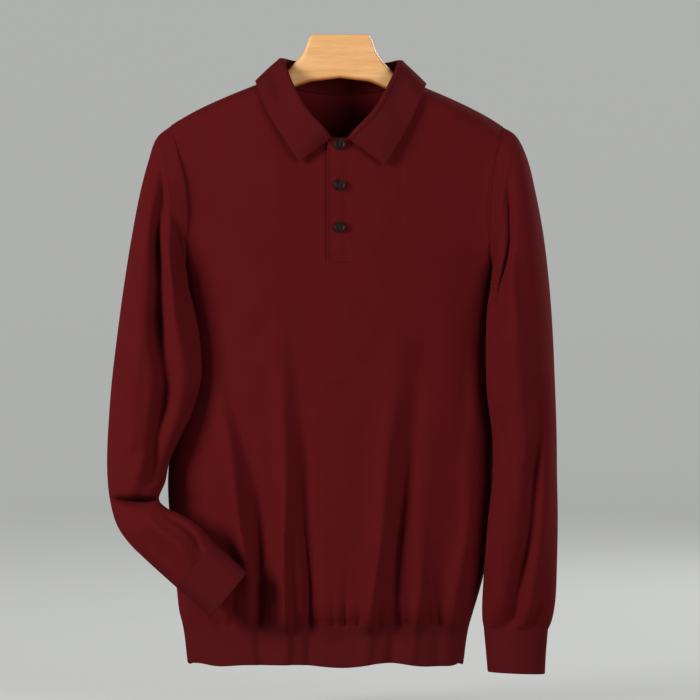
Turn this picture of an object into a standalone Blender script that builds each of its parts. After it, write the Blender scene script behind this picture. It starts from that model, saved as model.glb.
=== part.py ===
"""A fine-gauge knitted polo sweater on a plain wooden hanger.

Metres, +Z up, front towards -Y, +X to the right as the front is seen. The origin is the centre
of the hanger's flat top. A place's "drop" is how far it lies below that top, so z = -drop.
Every cloth piece is a wall: a middle surface worked out on a grid, given its thickness along
its own normals. "Outer" on a sleeve is the side away from the body, "inner" the side next to it.
"""
import math

import bpy
import numpy as np

# Cloth
WALL = 0.0020            # thickness of the knitted cloth
SEAM_GAP = 0.0003        # space between two pieces at a seam
RIB_WALL = 0.0024        # the ribbed bands are a little thicker

# Body
HEM_SEAM_DROP = 0.6970   # where the jersey meets the ribbed hem band
HEM_DROP = 0.7455        # lower edge of the hem band
UNDERARM_DROP = 0.2920
ARMHOLE_FRONT = 0.0350   # how far the armhole reaches forward of the side
ARMHOLE_BACK = 0.0330
SHOULDER_ROLL = 0.0200   # radius of the cloth where it goes over the hanger
SHOULDER_TILT = 0.015    # the right shoulder hangs lower, per metre to the right

# Neck
NECK_PART = 0.404        # half the neck, as a part of half the shoulder width
NECK_SIDE_DROP = 0.0545
NECK_FRONT_DROP = 0.1310
NECK_BACK_DROP = 0.0710
NECK_FRONT_REACH = 0.0440
NECK_BACK_REACH = 0.0350
NECK_ROUNDNESS = 2.2

# Placket
SLOT_PART = 0.0505       # half the cut-out, as a part of half the shoulder width
PLACKET_DROP = 0.2730    # lower end of the bands
PLACKET_LEFT = -0.0152
PLACKET_RIGHT = 0.0129
UNDER_BAND_HALF = 0.0135
BUTTON_DROPS = (0.1325, 0.1806, 0.2298)
BUTTON_RADIUS = 0.0066
BUTTON_THICKNESS = 0.0026

# Body outline: edges seen from the front, the centre line, and how far it reaches each way
#        drop    left     centre   right    front    back
OUTLINE = (
    (0.050, -0.1980, 0.0000, 0.1910, 0.0300, 0.0270),
    (0.107, -0.1980, 0.0000, 0.1910, 0.0400, 0.0330),
    (0.140, -0.1915, 0.0000, 0.1840, 0.0450, 0.0370),
    (0.177, -0.1835, 0.0000, 0.1785, 0.0475, 0.0400),
    (0.233, -0.1795, 0.0000, 0.1755, 0.0490, 0.0420),
    (0.298, -0.1772, -0.0005, 0.1745, 0.0500, 0.0430),
    (0.374, -0.1775, -0.0030, 0.1755, 0.0500, 0.0430),
    (0.456, -0.1880, -0.0080, 0.1760, 0.0500, 0.0430),
    (0.520, -0.2005, -0.0120, 0.1765, 0.0500, 0.0430),
    (0.597, -0.1975, -0.0135, 0.1720, 0.0495, 0.0430),
    (0.655, -0.1925, -0.0145, 0.1635, 0.0490, 0.0420),
    (0.685, -0.1890, -0.0155, 0.1560, 0.0460, 0.0390),
    (0.697, -0.1860, -0.0160, 0.1525, 0.0400, 0.0340),
    (0.746, -0.1795, -0.0175, 0.1445, 0.0380, 0.0330),
)
DROP, LEFT, CENTRE, RIGHT, FRONT, BACK = range(6)
SIDE_ROUNDNESS = 2.6     # how square the body's cross-section is
SIDE_FULLNESS = 0.55

# Shoulder seam: distance from the centre, drop
SHOULDER = ((0.080, 0.0545), (0.100, 0.0630), (0.129, 0.0752), (0.165, 0.0922), (0.198, 0.1107))

# Long soft folds: where each starts, passes and ends (drop, x), its half width and its height
#    from drop, x       at drop, x        to drop, x        width   height
FRONT_FOLDS = (
    ((0.374, -0.1640), (0.520, -0.1220), (0.640, -0.1100), 0.0130, 0.0070),
    ((0.397, -0.1380), (0.520, -0.1010), (0.746, -0.0950), 0.0120, -0.0080),
    ((0.339, -0.0700), (0.503, -0.0655), (0.746, -0.0640), 0.0110, 0.0065),
    ((0.375, -0.0530), (0.526, -0.0445), (0.746, -0.0340), 0.0110, -0.0065),
    ((0.345, 0.0700), (0.520, 0.0530), (0.746, 0.0300), 0.0150, 0.0065),
    ((0.327, 0.1110), (0.515, 0.0740), (0.746, 0.0590), 0.0140, -0.0075),
    ((0.374, 0.1520), (0.538, 0.1560), (0.700, 0.1350), 0.0130, 0.0045),
)
BACK_FOLDS = (
    ((0.330, -0.1250), (0.520, -0.1150), (0.746, -0.1050), 0.0150, -0.0070),
    ((0.300, -0.0800), (0.520, -0.0750), (0.746, -0.0660), 0.0150, 0.0065),
    ((0.360, -0.0350), (0.540, -0.0300), (0.746, -0.0260), 0.0140, -0.0050),
    ((0.340, 0.0400), (0.520, 0.0340), (0.746, 0.0220), 0.0150, 0.0060),
    ((0.310, 0.0900), (0.520, 0.0800), (0.746, 0.0660), 0.0150, -0.0070),
    ((0.380, 0.1350), (0.560, 0.1300), (0.700, 0.1150), 0.0130, 0.0050),
)
FOLD_STARTS_OVER = 0.55  # a fold grows to its full height over this part of its length

# Short gathers where the jersey is drawn into the rib: x, length, depth
FRONT_GATHERS = ((-0.128, 0.040, 0.0022), (0.006, 0.048, 0.0026), (0.021, 0.032, 0.0022),
                 (0.077, 0.036, 0.0026), (0.108, 0.048, 0.0026), (0.124, 0.044, 0.0022))
GATHER_WIDTH = 0.0050

# Armhole: angles at which its points lie, from the shoulder round the front to the underarm
ARMHOLE_ANGLES = (0, 9, 18, 36, 54, 72, 90, 108, 126, 144, 162, 180)

# Sleeve sections, from the armhole to the cuff: the outer and the inner side (x, drop), how far
# forward each lies (y), and half the sleeve's depth there. The right sleeve hangs straight.
#    outer x  drop     inner x  drop     outer y  inner y  half depth
RIGHT_SLEEVE = (
    (0.2085, 0.1220, 0.1785, 0.2890, -0.0010, -0.0020, 0.0370),
    (0.2215, 0.1500, 0.1777, 0.2925, -0.0030, -0.0050, 0.0390),
    (0.2310, 0.1900, 0.1780, 0.3010, -0.0040, -0.0110, 0.0410),
    (0.2400, 0.2400, 0.1755, 0.3160, -0.0060, -0.0180, 0.0420),
    (0.2468, 0.3000, 0.1733, 0.3420, -0.0080, -0.0250, 0.0415),
    (0.2507, 0.3560, 0.1727, 0.3850, -0.0090, -0.0280, 0.0400),
    (0.2530, 0.4100, 0.1742, 0.4280, -0.0100, -0.0280, 0.0385),
    (0.2550, 0.4680, 0.1805, 0.4760, -0.0100, -0.0240, 0.0370),
    (0.2556, 0.5200, 0.1812, 0.5220, -0.0100, -0.0240, 0.0355),
    (0.2565, 0.5730, 0.1755, 0.5720, -0.0100, -0.0250, 0.0345),
    (0.2556, 0.6260, 0.1715, 0.6240, -0.0100, -0.0210, 0.0325),
    (0.2540, 0.6670, 0.1690, 0.6660, -0.0090, -0.0160, 0.0295),
    (0.2500, 0.6920, 0.1690, 0.6900, -0.0080, -0.0110, 0.0245),
    (0.2448, 0.7050, 0.1711, 0.7030, -0.0080, -0.0090, 0.0195),
)
RIGHT_CUFF = (
    (0.2447, 0.7055, 0.1712, 0.7035, -0.0080, -0.0090, 0.0192),
    (0.2425, 0.7320, 0.1735, 0.7295, -0.0080, -0.0090, 0.0180),
    (0.2412, 0.7572, 0.1757, 0.7545, -0.0080, -0.0090, 0.0175),
)
# The left sleeve bends at the elbow, and its forearm lies in front of the body.
LEFT_SLEEVE = (
    (-0.2165, 0.1235, -0.1795, 0.2895, -0.0010, -0.0020, 0.0370),
    (-0.2263, 0.1512, -0.1820, 0.2925, -0.0030, -0.0080, 0.0390),
    (-0.2362, 0.1900, -0.1820, 0.3010, -0.0050, -0.0150, 0.0405),
    (-0.2456, 0.2403, -0.1795, 0.3150, -0.0080, -0.0240, 0.0405),
    (-0.2550, 0.3001, -0.1765, 0.3380, -0.0100, -0.0310, 0.0395),
    (-0.2632, 0.3623, -0.1700, 0.3680, -0.0120, -0.0370, 0.0380),
    (-0.2692, 0.4150, -0.1660, 0.4060, -0.0140, -0.0400, 0.0370),
    (-0.2726, 0.4619, -0.1806, 0.4467, -0.0160, -0.0380, 0.0355),
    (-0.2740, 0.4971, -0.1993, 0.4795, -0.0190, -0.0330, 0.0340),
    (-0.2732, 0.5264, -0.2099, 0.5053, -0.0230, -0.0300, 0.0330),
    (-0.2697, 0.5522, -0.2128, 0.5288, -0.0290, -0.0350, 0.0310),
    (-0.2614, 0.5792, -0.2134, 0.5487, -0.0380, -0.0460, 0.0290),
    (-0.2462, 0.6003, -0.2030, 0.5600, -0.0480, -0.0570, 0.0270),
    (-0.2263, 0.6190, -0.1850, 0.5680, -0.0570, -0.0640, 0.0250),
    (-0.2075, 0.6355, -0.1655, 0.5800, -0.0640, -0.0690, 0.0225),
    (-0.1899, 0.6507, -0.1477, 0.5991, -0.0690, -0.0715, 0.0195),
)
LEFT_CUFF = (
    (-0.1895, 0.6511, -0.1473, 0.5995, -0.0691, -0.0715, 0.0193),
    (-0.1700, 0.6690, -0.1275, 0.6175, -0.0705, -0.0725, 0.0180),
    (-0.1510, 0.6860, -0.1088, 0.6346, -0.0715, -0.0730, 0.0172),
)

# Collar, by angle round the neck from the front: the top of its roll and the edge of its leaf
#   angle  roll x   y        drop    edge x   y        drop
COLLAR = (
    (7, 0.0112, -0.0505, 0.1245, 0.0470, -0.0530, 0.1545),
    (25, 0.0190, -0.0540, 0.1130, 0.0565, -0.0530, 0.1415),
    (45, 0.0400, -0.0500, 0.0900, 0.0720, -0.0480, 0.1180),
    (65, 0.0540, -0.0360, 0.0640, 0.0880, -0.0360, 0.0900),
    (82, 0.0645, -0.0140, 0.0370, 0.0985, -0.0190, 0.0625),
    (98, 0.0660, 0.0080, 0.0310, 0.1000, 0.0080, 0.0565),
    (122, 0.0530, 0.0270, 0.0310, 0.0850, 0.0390, 0.0760),
    (150, 0.0280, 0.0360, 0.0325, 0.0480, 0.0490, 0.0880),
    (180, 0.0000, 0.0390, 0.0330, 0.0000, 0.0510, 0.0920),
)
COLLAR_ROLL = 0.0030     # radius of the fold along the collar's top

# Hanger: distance from the centre, drop of its top and underside, half its thickness
HANGER = (
    (0.0000, 0.0000, 0.0520, 0.0075),
    (0.0340, 0.0000, 0.0562, 0.0075),
    (0.0385, 0.0080, 0.0575, 0.0075),
    (0.0410, 0.0170, 0.0585, 0.0075),
    (0.0465, 0.0265, 0.0605, 0.0075),
    (0.0550, 0.0360, 0.0640, 0.0076),
    (0.0640, 0.0450, 0.0690, 0.0076),
    (0.0710, 0.0580, 0.0740, 0.0074),
    (0.0850, 0.0635, 0.0800, 0.0085),
    (0.1200, 0.0737, 0.0950, 0.0115),
    (0.1550, 0.0898, 0.1100, 0.0130),
    (0.1740, 0.0999, 0.1180, 0.0112),
    (0.1800, 0.1050, 0.1160, 0.0095),
)


def curve(places, values, at):
    """A smooth line through the places: cubic pieces with each point's mean slope."""
    places = np.asarray(places, float)
    values = np.asarray(values, float)
    slopes = np.gradient(values, places)
    at = np.clip(at, places[0], places[-1])
    i = np.clip(np.searchsorted(places, at) - 1, 0, len(places) - 2)
    span = places[i + 1] - places[i]
    t = (at - places[i]) / span
    return ((1 + 2 * t) * (1 - t)**2 * values[i] + t * (1 - t)**2 * span * slopes[i]
            + t * t * (3 - 2 * t) * values[i + 1] + t * t * (t - 1) * span * slopes[i + 1])


def column(table, number, at):
    """One column of a table as a smooth function of the table's first column."""
    table = np.asarray(table, float)
    return curve(table[:, 0], table[:, number], at)


def unit(vectors):
    return vectors / np.maximum(np.linalg.norm(vectors, axis=-1, keepdims=True), 1e-12)


def facing(points, around, towards):
    """Normals of a grid of points, turned to the side that `towards` names."""
    down = np.gradient(points, axis=0)
    if around:
        across = np.roll(points, -1, axis=1) - np.roll(points, 1, axis=1)
    else:
        across = np.gradient(points, axis=1)
    normals = unit(np.cross(across, down))
    if np.sum(normals * towards) < 0:
        normals = -normals
    return normals


def make_object(name, vertices, faces, material, smooth=True):
    mesh = bpy.data.meshes.new(name)
    mesh.from_pydata([tuple(v) for v in vertices], [], faces)
    mesh.update()
    if smooth:
        mesh.shade_smooth()
        mesh.set_sharp_from_angle(angle=math.radians(45))
    mesh.materials.append(material)
    made = bpy.data.objects.new(name, mesh)
    bpy.context.scene.collection.objects.link(made)
    return made


def cloth_wall(name, middle, normals, thickness, material, around=False, keep=None):
    """A closed wall: the middle surface moved out and in by half the thickness, with its
    open edges joined. keep marks the cells of the grid that are cloth."""
    rows, columns = middle.shape[:2]
    half = normals * thickness / 2
    vertices = np.concatenate([(middle + half).reshape(-1, 3), (middle - half).reshape(-1, 3)])
    inside = rows * columns
    cells = []
    for r in range(rows - 1):
        for c in range(columns if around else columns - 1):
            if keep is None or keep[r, c]:
                d = (c + 1) % columns
                cells.append((r * columns + c, r * columns + d,
                              (r + 1) * columns + d, (r + 1) * columns + c))
    first = cells[len(cells) // 2]
    corners = vertices[list(first)]
    turn = np.cross(corners[1] - corners[0], corners[3] - corners[0])
    if np.dot(turn, half.reshape(-1, 3)[first[0]]) < 0:
        cells = [cell[::-1] for cell in cells]
    edges = {(cell[k], cell[(k + 1) % 4]) for cell in cells for k in range(4)}
    faces = list(cells)
    faces += [tuple(v + inside for v in cell[::-1]) for cell in cells]
    faces += [(b, a, a + inside, b + inside) for a, b in edges if (b, a) not in edges]
    used = sorted({v for face in faces for v in face})
    place = {v: k for k, v in enumerate(used)}
    faces = [tuple(place[v] for v in face) for face in faces]
    return make_object(name, vertices[used], faces, material)


def plain_material(name, color, roughness):
    material = bpy.data.materials.new(name)
    material.use_nodes = True
    shader = material.node_tree.nodes["Principled BSDF"]
    shader.inputs["Base Color"].default_value = (*color, 1.0)
    shader.inputs["Roughness"].default_value = roughness
    return material


# ---- Body ----

def hem_line(part):
    """Drop of the seam between jersey and rib, which waves a little."""
    return HEM_SEAM_DROP + 0.0012 * np.sin(9.0 * part + 0.6)


def top_line(side, part):
    """Drop of a panel's upper end at each part of its width: shoulder seam or neckline."""
    half = np.where(part < 0, -OUTLINE[0][LEFT], OUTLINE[0][RIGHT])
    away = np.abs(part) * half
    places, drops = zip(*SHOULDER)
    shoulder = curve(places, drops, np.maximum(away, places[0]))
    low = NECK_FRONT_DROP if side == FRONT else NECK_BACK_DROP
    dip = (low - NECK_SIDE_DROP) * (1 - np.minimum(np.abs(part) / NECK_PART, 1)**NECK_ROUNDNESS)
    return shoulder + dip + SHOULDER_TILT * part * half


def fullness(part):
    return np.maximum(1 - np.minimum(np.abs(part), 1)**SIDE_ROUNDNESS, 0)**SIDE_FULLNESS


def folds(table, x, drop):
    """Height of the long folds: a soft bell across each fold's line, growing from its start."""
    total = np.zeros(np.broadcast(x, drop).shape)
    for start, passing, end, width, height in table:
        drops, places = zip(start, passing, end)
        line = curve(drops, places, drop)
        grown = np.clip((drop - start[0]) / ((end[0] - start[0]) * FOLD_STARTS_OVER), 0, 1)
        grown = grown * grown * (3 - 2 * grown)
        fade = np.clip((end[0] + 0.030 - drop) / 0.060, 0, 1) if end[0] < HEM_SEAM_DROP else 1
        total = total + height * grown * fade * np.exp(-((x - line) / width)**2)
    return total


def gathers(x, drop):
    """Depth of the short gathers above the rib, deepest at the seam."""
    total = np.zeros(np.broadcast(x, drop).shape)
    for place, length, depth in FRONT_GATHERS:
        near = np.clip(1 - (HEM_SEAM_DROP - drop) / length, 0, 1)
        total = total + depth * near * np.exp(-((x - place) / GATHER_WIDTH)**2)
    return total


def body_x(part, drop):
    centre = column(OUTLINE, CENTRE, drop)
    left = column(OUTLINE, LEFT, drop)
    right = column(OUTLINE, RIGHT, drop)
    return centre + np.where(part < 0, part * (centre - left), part * (right - centre))


def body_part(x, drop):
    """The other way round: which part of the width a place x lies at."""
    centre = column(OUTLINE, CENTRE, drop)
    left = column(OUTLINE, LEFT, drop)
    right = column(OUTLINE, RIGHT, drop)
    return np.where(x < centre, (x - centre) / (centre - left), (x - centre) / (right - centre))


def body_reach(side, part, drop, edge):
    """How far the cloth lies forward or back of the side seams: a soft box with folds."""
    full = fullness(part)
    x = body_x(part, drop)
    reach = column(OUTLINE, side, drop) * full + edge * (1 - full)**2
    reach = reach + full * folds(FRONT_FOLDS if side == FRONT else BACK_FOLDS, x, drop)
    if side == FRONT:
        reach = reach - full * gathers(x, drop)
    return reach


def underarm_part(part):
    top = top_line(FRONT, np.sign(part))
    return (UNDERARM_DROP - top) / (HEM_SEAM_DROP - top)


def panel(side, parts, downs):
    """A front or back panel as a grid of points: columns hang from the shoulder seam or the
    neckline to the hem, and at the top they roll over the hanger."""
    part = np.asarray(parts)[None, :]
    down = np.asarray(downs)[:, None]
    top = top_line(side, part)
    drop = top + (hem_line(part) - SEAM_GAP - top) * down
    turn = np.clip(down / underarm_part(np.where(part < 0, -1.0, 1.0)), 0, 1)
    edge = (ARMHOLE_FRONT if side == FRONT else ARMHOLE_BACK) * 2 * np.sqrt(turn * (1 - turn))
    reach = body_reach(side, part, drop, edge)
    neck = NECK_FRONT_REACH if side == FRONT else NECK_BACK_REACH
    top_reach = neck * np.sqrt(np.maximum(1 - (np.minimum(np.abs(part) / NECK_PART, 1))**2, 0))
    below = np.clip((drop - top) / SHOULDER_ROLL, 0, 1)
    roll = np.sqrt(1 - (1 - below)**2)
    y = SEAM_GAP / 2 + top_reach + (reach - top_reach) * roll
    way = -1 if side == FRONT else 1
    points = np.stack(np.broadcast_arrays(body_x(part, drop), way * y, -drop), axis=-1)
    normals = facing(points, False, (0, way, 0))
    shoulder = np.abs(parts) >= NECK_PART - 1e-6
    normals[0, shoulder, 1] = 0
    sides = np.asarray(downs) >= underarm_part(1.0) - 1e-6
    normals[sides, 0, 1] = 0
    normals[sides, -1, 1] = 0
    return points, unit(normals)


ARMHOLE_DOWNS = [underarm_part(1.0) * (1 - math.cos(math.radians(a))) / 2 for a in ARMHOLE_ANGLES]
LOWER_DOWNS = [0.36, 0.42, 0.49, 0.56, 0.63, 0.70, 0.77, 0.84, 0.90, 0.945, 0.975, 1.0]
DOWNS = ARMHOLE_DOWNS + LOWER_DOWNS


def neck_angles(side):
    """Angles round the neck of a panel's columns, from one shoulder to the other."""
    if side == BACK:
        return np.radians(np.linspace(-90, 90, 13))
    edge = math.degrees(math.asin(SLOT_PART / NECK_PART))
    return np.radians(np.concatenate([np.linspace(-90, -edge, 9), np.linspace(edge, 90, 9)]))


def panel_parts(side, count):
    """Columns of a panel: shoulder, neck, shoulder, closer together near the sides."""
    steps = np.linspace(0, 1, count + 1)[:-1]
    shoulder = -1 + (1 - NECK_PART) * (0.75 * steps + 0.25 * steps**2)
    neck = NECK_PART * np.sin(neck_angles(side))
    return np.concatenate([shoulder, neck, -shoulder[::-1]])


def make_panels(material):
    front_parts = panel_parts(FRONT, 12)
    points, normals = panel(FRONT, front_parts, DOWNS)
    middle = (front_parts[:-1] + front_parts[1:]) / 2
    cell_drop = -points[1:, len(front_parts) // 2, 2]
    keep = ~((np.abs(middle)[None, :] < SLOT_PART) & (cell_drop[:, None] < PLACKET_DROP + 0.004))
    cloth_wall("front_panel", points, normals, WALL, material, keep=keep)
    points, normals = panel(BACK, panel_parts(BACK, 9), DOWNS)
    cloth_wall("back_panel", points, normals, WALL, material)


# ---- Hem band ----

HEM_AROUND = 60


def hem_ring(drop, tuck):
    """The body's cross-section at one drop as a ring of points, drawn in by tuck."""
    turn = np.linspace(0, 2 * math.pi, HEM_AROUND, endpoint=False)
    part = -np.cos(turn)
    part = np.sign(part) * (0.6 * np.abs(part) + 0.4 * (1 - (1 - np.abs(part))**1.5))
    drop_here = drop + hem_line(part) - HEM_SEAM_DROP
    front = body_reach(FRONT, part, drop_here, 0.0)
    back = body_reach(BACK, part, drop_here, 0.0)
    y = np.where(turn <= math.pi, -(front - tuck * fullness(part)),
                 back - tuck * fullness(part))
    y = np.where(np.abs(part) > 0.9999, 0.0, y)
    return np.stack([body_x(part, drop_here), y, -drop_here], axis=-1)


def make_hem(material):
    rows = [HEM_SEAM_DROP + SEAM_GAP, 0.712, 0.729, HEM_DROP]
    rings = np.stack([hem_ring(drop, 0.0004 * k) for k, drop in enumerate(rows)])
    centre = rings.mean(axis=(0, 1))
    normals = facing(rings, True, unit(rings - centre))
    cloth_wall("hem_band", rings, normals, RIB_WALL, material, around=True)


# ---- Sleeves ----

def ring_angles():
    """Angles round a sleeve: outer side, front, inner side, back."""
    front = list(ARMHOLE_ANGLES)
    back = [360 - a for a in ARMHOLE_ANGLES[-2:0:-1]]
    return np.radians(front + back)


ARMHOLE_GAP = 0.0006
UNDERARM_LIFT = 0.0007   # the sleeve's seam passes just above the side seam's top


def armhole(end):
    """The armhole's points and normals round one side, read from the two panels' edges."""
    front, front_normals = panel(FRONT, (-1.0, -0.97, 0.97, 1.0), ARMHOLE_DOWNS + [0.36])
    back, back_normals = panel(BACK, (-1.0, -0.97, 0.97, 1.0), ARMHOLE_DOWNS + [0.36])
    side = 0 if end < 0 else -1
    last = len(ARMHOLE_DOWNS)
    points = np.concatenate([front[:last, side], back[last - 2:0:-1, side]])
    normals = np.concatenate([front_normals[:last, side], back_normals[last - 2:0:-1, side]])
    points[0, 1] = 0
    points[last - 1, 1] = 0
    along = np.roll(points, -1, axis=0) - np.roll(points, 1, axis=0)
    away = unit(np.cross(along, normals))
    if np.sum(away[:, 0]) * end < 0:
        away = -away
    lift = UNDERARM_LIFT * ((1 - np.cos(ring_angles())) / 2)**6
    points = points + ARMHOLE_GAP * away
    points[:, 2] += lift
    return points, normals


def sections(table, places):
    """Rings round a sleeve or cuff at the given places along its table of sections."""
    table = np.asarray(table)
    rows = np.arange(len(table))
    outer_x, outer_drop, inner_x, inner_drop, outer_y, inner_y, half = [
        curve(rows, table[:, k], np.asarray(places, float))[:, None] for k in range(7)]
    angle = ring_angles()[None, :]
    inward = (1 - np.cos(angle)) / 2
    x = outer_x + (inner_x - outer_x) * inward
    drop = outer_drop + (inner_drop - outer_drop) * inward
    y = outer_y + (inner_y - outer_y) * inward - half * np.sin(angle)
    return np.stack([x, y, -drop], axis=-1)


# Creases pressed into a sleeve's front or back: section where each starts and ends, how far
# from the outer side it lies at each end (0 outer, 1 inner), half width, height, front or back
#   from  to     at    at    width  height   way
RIGHT_CREASES = (
    (1.0, 11.0, 0.56, 0.52, 0.12, 0.0050, 1),
    (5.5, 13.0, 0.20, 0.68, 0.11, -0.0065, 1),
    (0.5, 5.0, 0.90, 0.86, 0.09, -0.0045, 1),
    (2.0, 9.0, 0.45, 0.40, 0.14, -0.0070, -1),
    (6.0, 13.0, 0.70, 0.60, 0.12, 0.0050, -1),
)
LEFT_CREASES = (
    (1.0, 9.5, 0.50, 0.84, 0.11, -0.0060, 1),
    (1.0, 8.0, 0.78, 0.93, 0.10, 0.0030, 1),
    (1.5, 9.0, 0.18, 0.22, 0.14, 0.0040, 1),
    (2.0, 9.0, 0.45, 0.50, 0.14, -0.0030, -1),
    (11.5, 15.0, 0.62, 0.55, 0.13, 0.0045, 1),
)
ELBOW_CREASE = (10.55, 0.30, 0.75, 0.0110)   # section, half length along, middle across, depth


def crease(rings, places, table):
    """Moves the rings' points forward or back along their creases."""
    angle = ring_angles()[None, :]
    inward = (1 - np.cos(angle)) / 2
    places = np.asarray(places, float)[:, None]
    moved = rings.copy()
    for start, end, first, last, width, height, way in table:
        run = np.clip((places - start) / (end - start), 0, 1)
        strength = np.sin(math.pi * run)**0.7
        across = np.exp(-((inward - (first + (last - first) * run)) / width)**2)
        on_face = np.clip(way * np.sin(angle), 0, 1)
        moved[..., 1] -= way * height * strength * across * on_face
    return moved


def clear_of_body(points, room):
    """Moves points that would touch the body's front forward, until they have room."""
    x, y, drop = points[..., 0], points[..., 1], -points[..., 2]
    grown = room / column(OUTLINE, RIGHT, drop)
    part = body_part(x, drop) / (1 + grown)
    reach = body_reach(FRONT, np.clip(part, -1, 1), drop, 0.0) + room
    inside = (np.abs(part) < 1) & (y > -reach) & (drop > UNDERARM_DROP)
    moved = points.copy()
    moved[..., 1] = np.where(inside, -reach, y)
    return moved


SLEEVE_CLEARANCE = 0.0030


def sleeve_rings(table, creases, end, places):
    rings = crease(sections(table, places), places, creases)
    if end < 0:
        at, length, middle, depth = ELBOW_CREASE
        angle = ring_angles()[None, :]
        inward = (1 - np.cos(angle)) / 2
        across = np.clip(1 - ((inward - middle) / 0.75)**2, 0, 1)
        near = np.exp(-((np.asarray(places)[:, None] - at) / length)**2)
        rings[..., 1] += depth * near * across * np.clip(np.sin(angle), 0, 1)
        rings = clear_of_body(rings, SLEEVE_CLEARANCE)
    return rings


def make_sleeve(name, table, creases, end, places, material):
    first, first_normals = armhole(end)
    rings = np.concatenate([first[None], sleeve_rings(table, creases, end, places)])
    middle = rings.mean(axis=1, keepdims=True)
    normals = facing(rings, True, unit(rings - middle))
    normals[0] = first_normals
    cloth_wall(name, rings, normals, WALL, material, around=True)


def make_cuff(name, table, end, material):
    rings = sections(table, (0.0, 0.7, 1.35, 2.0))
    if end < 0:
        rings = clear_of_body(rings, SLEEVE_CLEARANCE)
    normals = facing(rings, True, unit(rings - rings.mean(axis=1, keepdims=True)))
    cloth_wall(name, rings, normals, RIB_WALL, material, around=True)


RIGHT_PLACES = [0, 1, 2, 3, 4, 5, 6, 7, 8, 9, 10, 11, 12, 12.6, 13]
LEFT_PLACES = [0, 1, 2, 3, 4, 5, 6, 7, 8, 9, 9.7, 10.2, 10.6, 11, 11.6, 12.3, 13, 14, 15]


# ---- Collar ----

def neck_loop():
    """The neckline's points, normals, upward directions and angles, from the placket's left
    round the back to its right."""
    loops = []
    for side in (FRONT, BACK):
        angles = neck_angles(side)
        parts = NECK_PART * np.sin(angles)
        points, normals = panel(side, parts, (0.0, 0.004, 0.010))
        loops.append((points[0], normals[0], angles))
    front, back = loops
    half = len(front[2]) // 2
    left = slice(half - 1, None, -1)
    right = slice(len(front[2]) - 1, half - 1, -1)
    seam, normals = [np.concatenate([front[k][left], back[k][1:-1], front[k][right]])
                     for k in range(2)]
    angles = np.concatenate([np.abs(front[2][left]), math.pi - np.abs(back[2][1:-1]),
                             np.abs(front[2][right])])
    sign = np.sign(seam[:, 0])
    inward = unit(np.cross(np.gradient(seam, axis=0), normals))
    inward = inward * np.sign(np.sum(inward * -seam, axis=-1, keepdims=True))
    return seam, normals, inward, np.degrees(angles), sign


SIDE_ROOM = 0.0009       # more space at the sides, where the neckline is steep


def collar_lines():
    """Where the stand starts, where the collar rolls over and where its leaf ends."""
    seam, seam_normals, inward, angles, sign = neck_loop()
    level = np.abs(seam_normals[:, 2:])
    side = np.sin(np.radians(angles))[:, None]
    start = seam + (1.4 * SEAM_GAP + SIDE_ROOM * side + 0.55 * RIB_WALL * level) * inward
    tilt = SHOULDER_TILT * seam[:, 0]
    roll = np.stack([sign * column(COLLAR, 1, angles), column(COLLAR, 2, angles),
                     -column(COLLAR, 3, angles) - tilt], axis=-1)
    edge = np.stack([sign * column(COLLAR, 4, angles), column(COLLAR, 5, angles),
                     -column(COLLAR, 6, angles) - tilt], axis=-1)
    return start, seam_normals, level, roll, edge


def lifted_off(points, room):
    """Moves points of the collar's leaf away from the body until they have room over it."""
    x, y, drop = points[..., 0], points[..., 1], -points[..., 2]
    part = body_part(x, drop)
    moved = points.copy()
    for side, way, neck in ((FRONT, -1, NECK_FRONT_REACH), (BACK, 1, NECK_BACK_REACH)):
        top = top_line(side, part)
        top_reach = neck * np.sqrt(np.maximum(1 - (np.minimum(np.abs(part) / NECK_PART, 1))**2, 0))
        below = np.clip((drop - top + room) / (SHOULDER_ROLL + room), 0, 1)
        reach = body_reach(side, part, drop, 0.0) + room
        reach = top_reach + (reach - top_reach) * np.sqrt(1 - (1 - below)**2)
        touching = (way * y > 0) & (drop > top - room) & (way * y < reach)
        moved[..., 1] = np.where(touching, way * reach, moved[..., 1])
    return moved


LEAF_CLEARANCE = 0.0074


def make_collar(material):
    start, seam_normals, level, roll, edge = collar_lines()
    up = unit(roll - start)
    fall = edge - roll
    out = unit(fall - up * np.sum(fall * up, axis=-1, keepdims=True))
    top = roll - COLLAR_ROLL * up
    hub = top + COLLAR_ROLL * out
    rows = [start, start + (top - start) * 0.35, start + (top - start) * 0.7]
    for angle in np.radians((0, 60, 120, 180)):
        rows.append(hub + COLLAR_ROLL * (math.sin(angle) * up - math.cos(angle) * out))
    rows[-1] = lifted_off(rows[-1], LEAF_CLEARANCE)
    leaf = rows[-1]
    for run in (0.25, 0.5, 0.75, 1.0):
        bulge = 0.0025 * math.sin(math.pi * run)
        rows.append(lifted_off(leaf + (edge - leaf) * run + bulge * out, LEAF_CLEARANCE))
    grid = np.stack(rows)
    towards = np.zeros_like(grid)
    towards[7:] = out
    normals = facing(grid, False, towards)
    normals[0] = unit(normals[0] * level - seam_normals * (1 - level))
    cloth_wall("collar", grid, normals, RIB_WALL, material)


# ---- Placket and buttons ----

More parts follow.
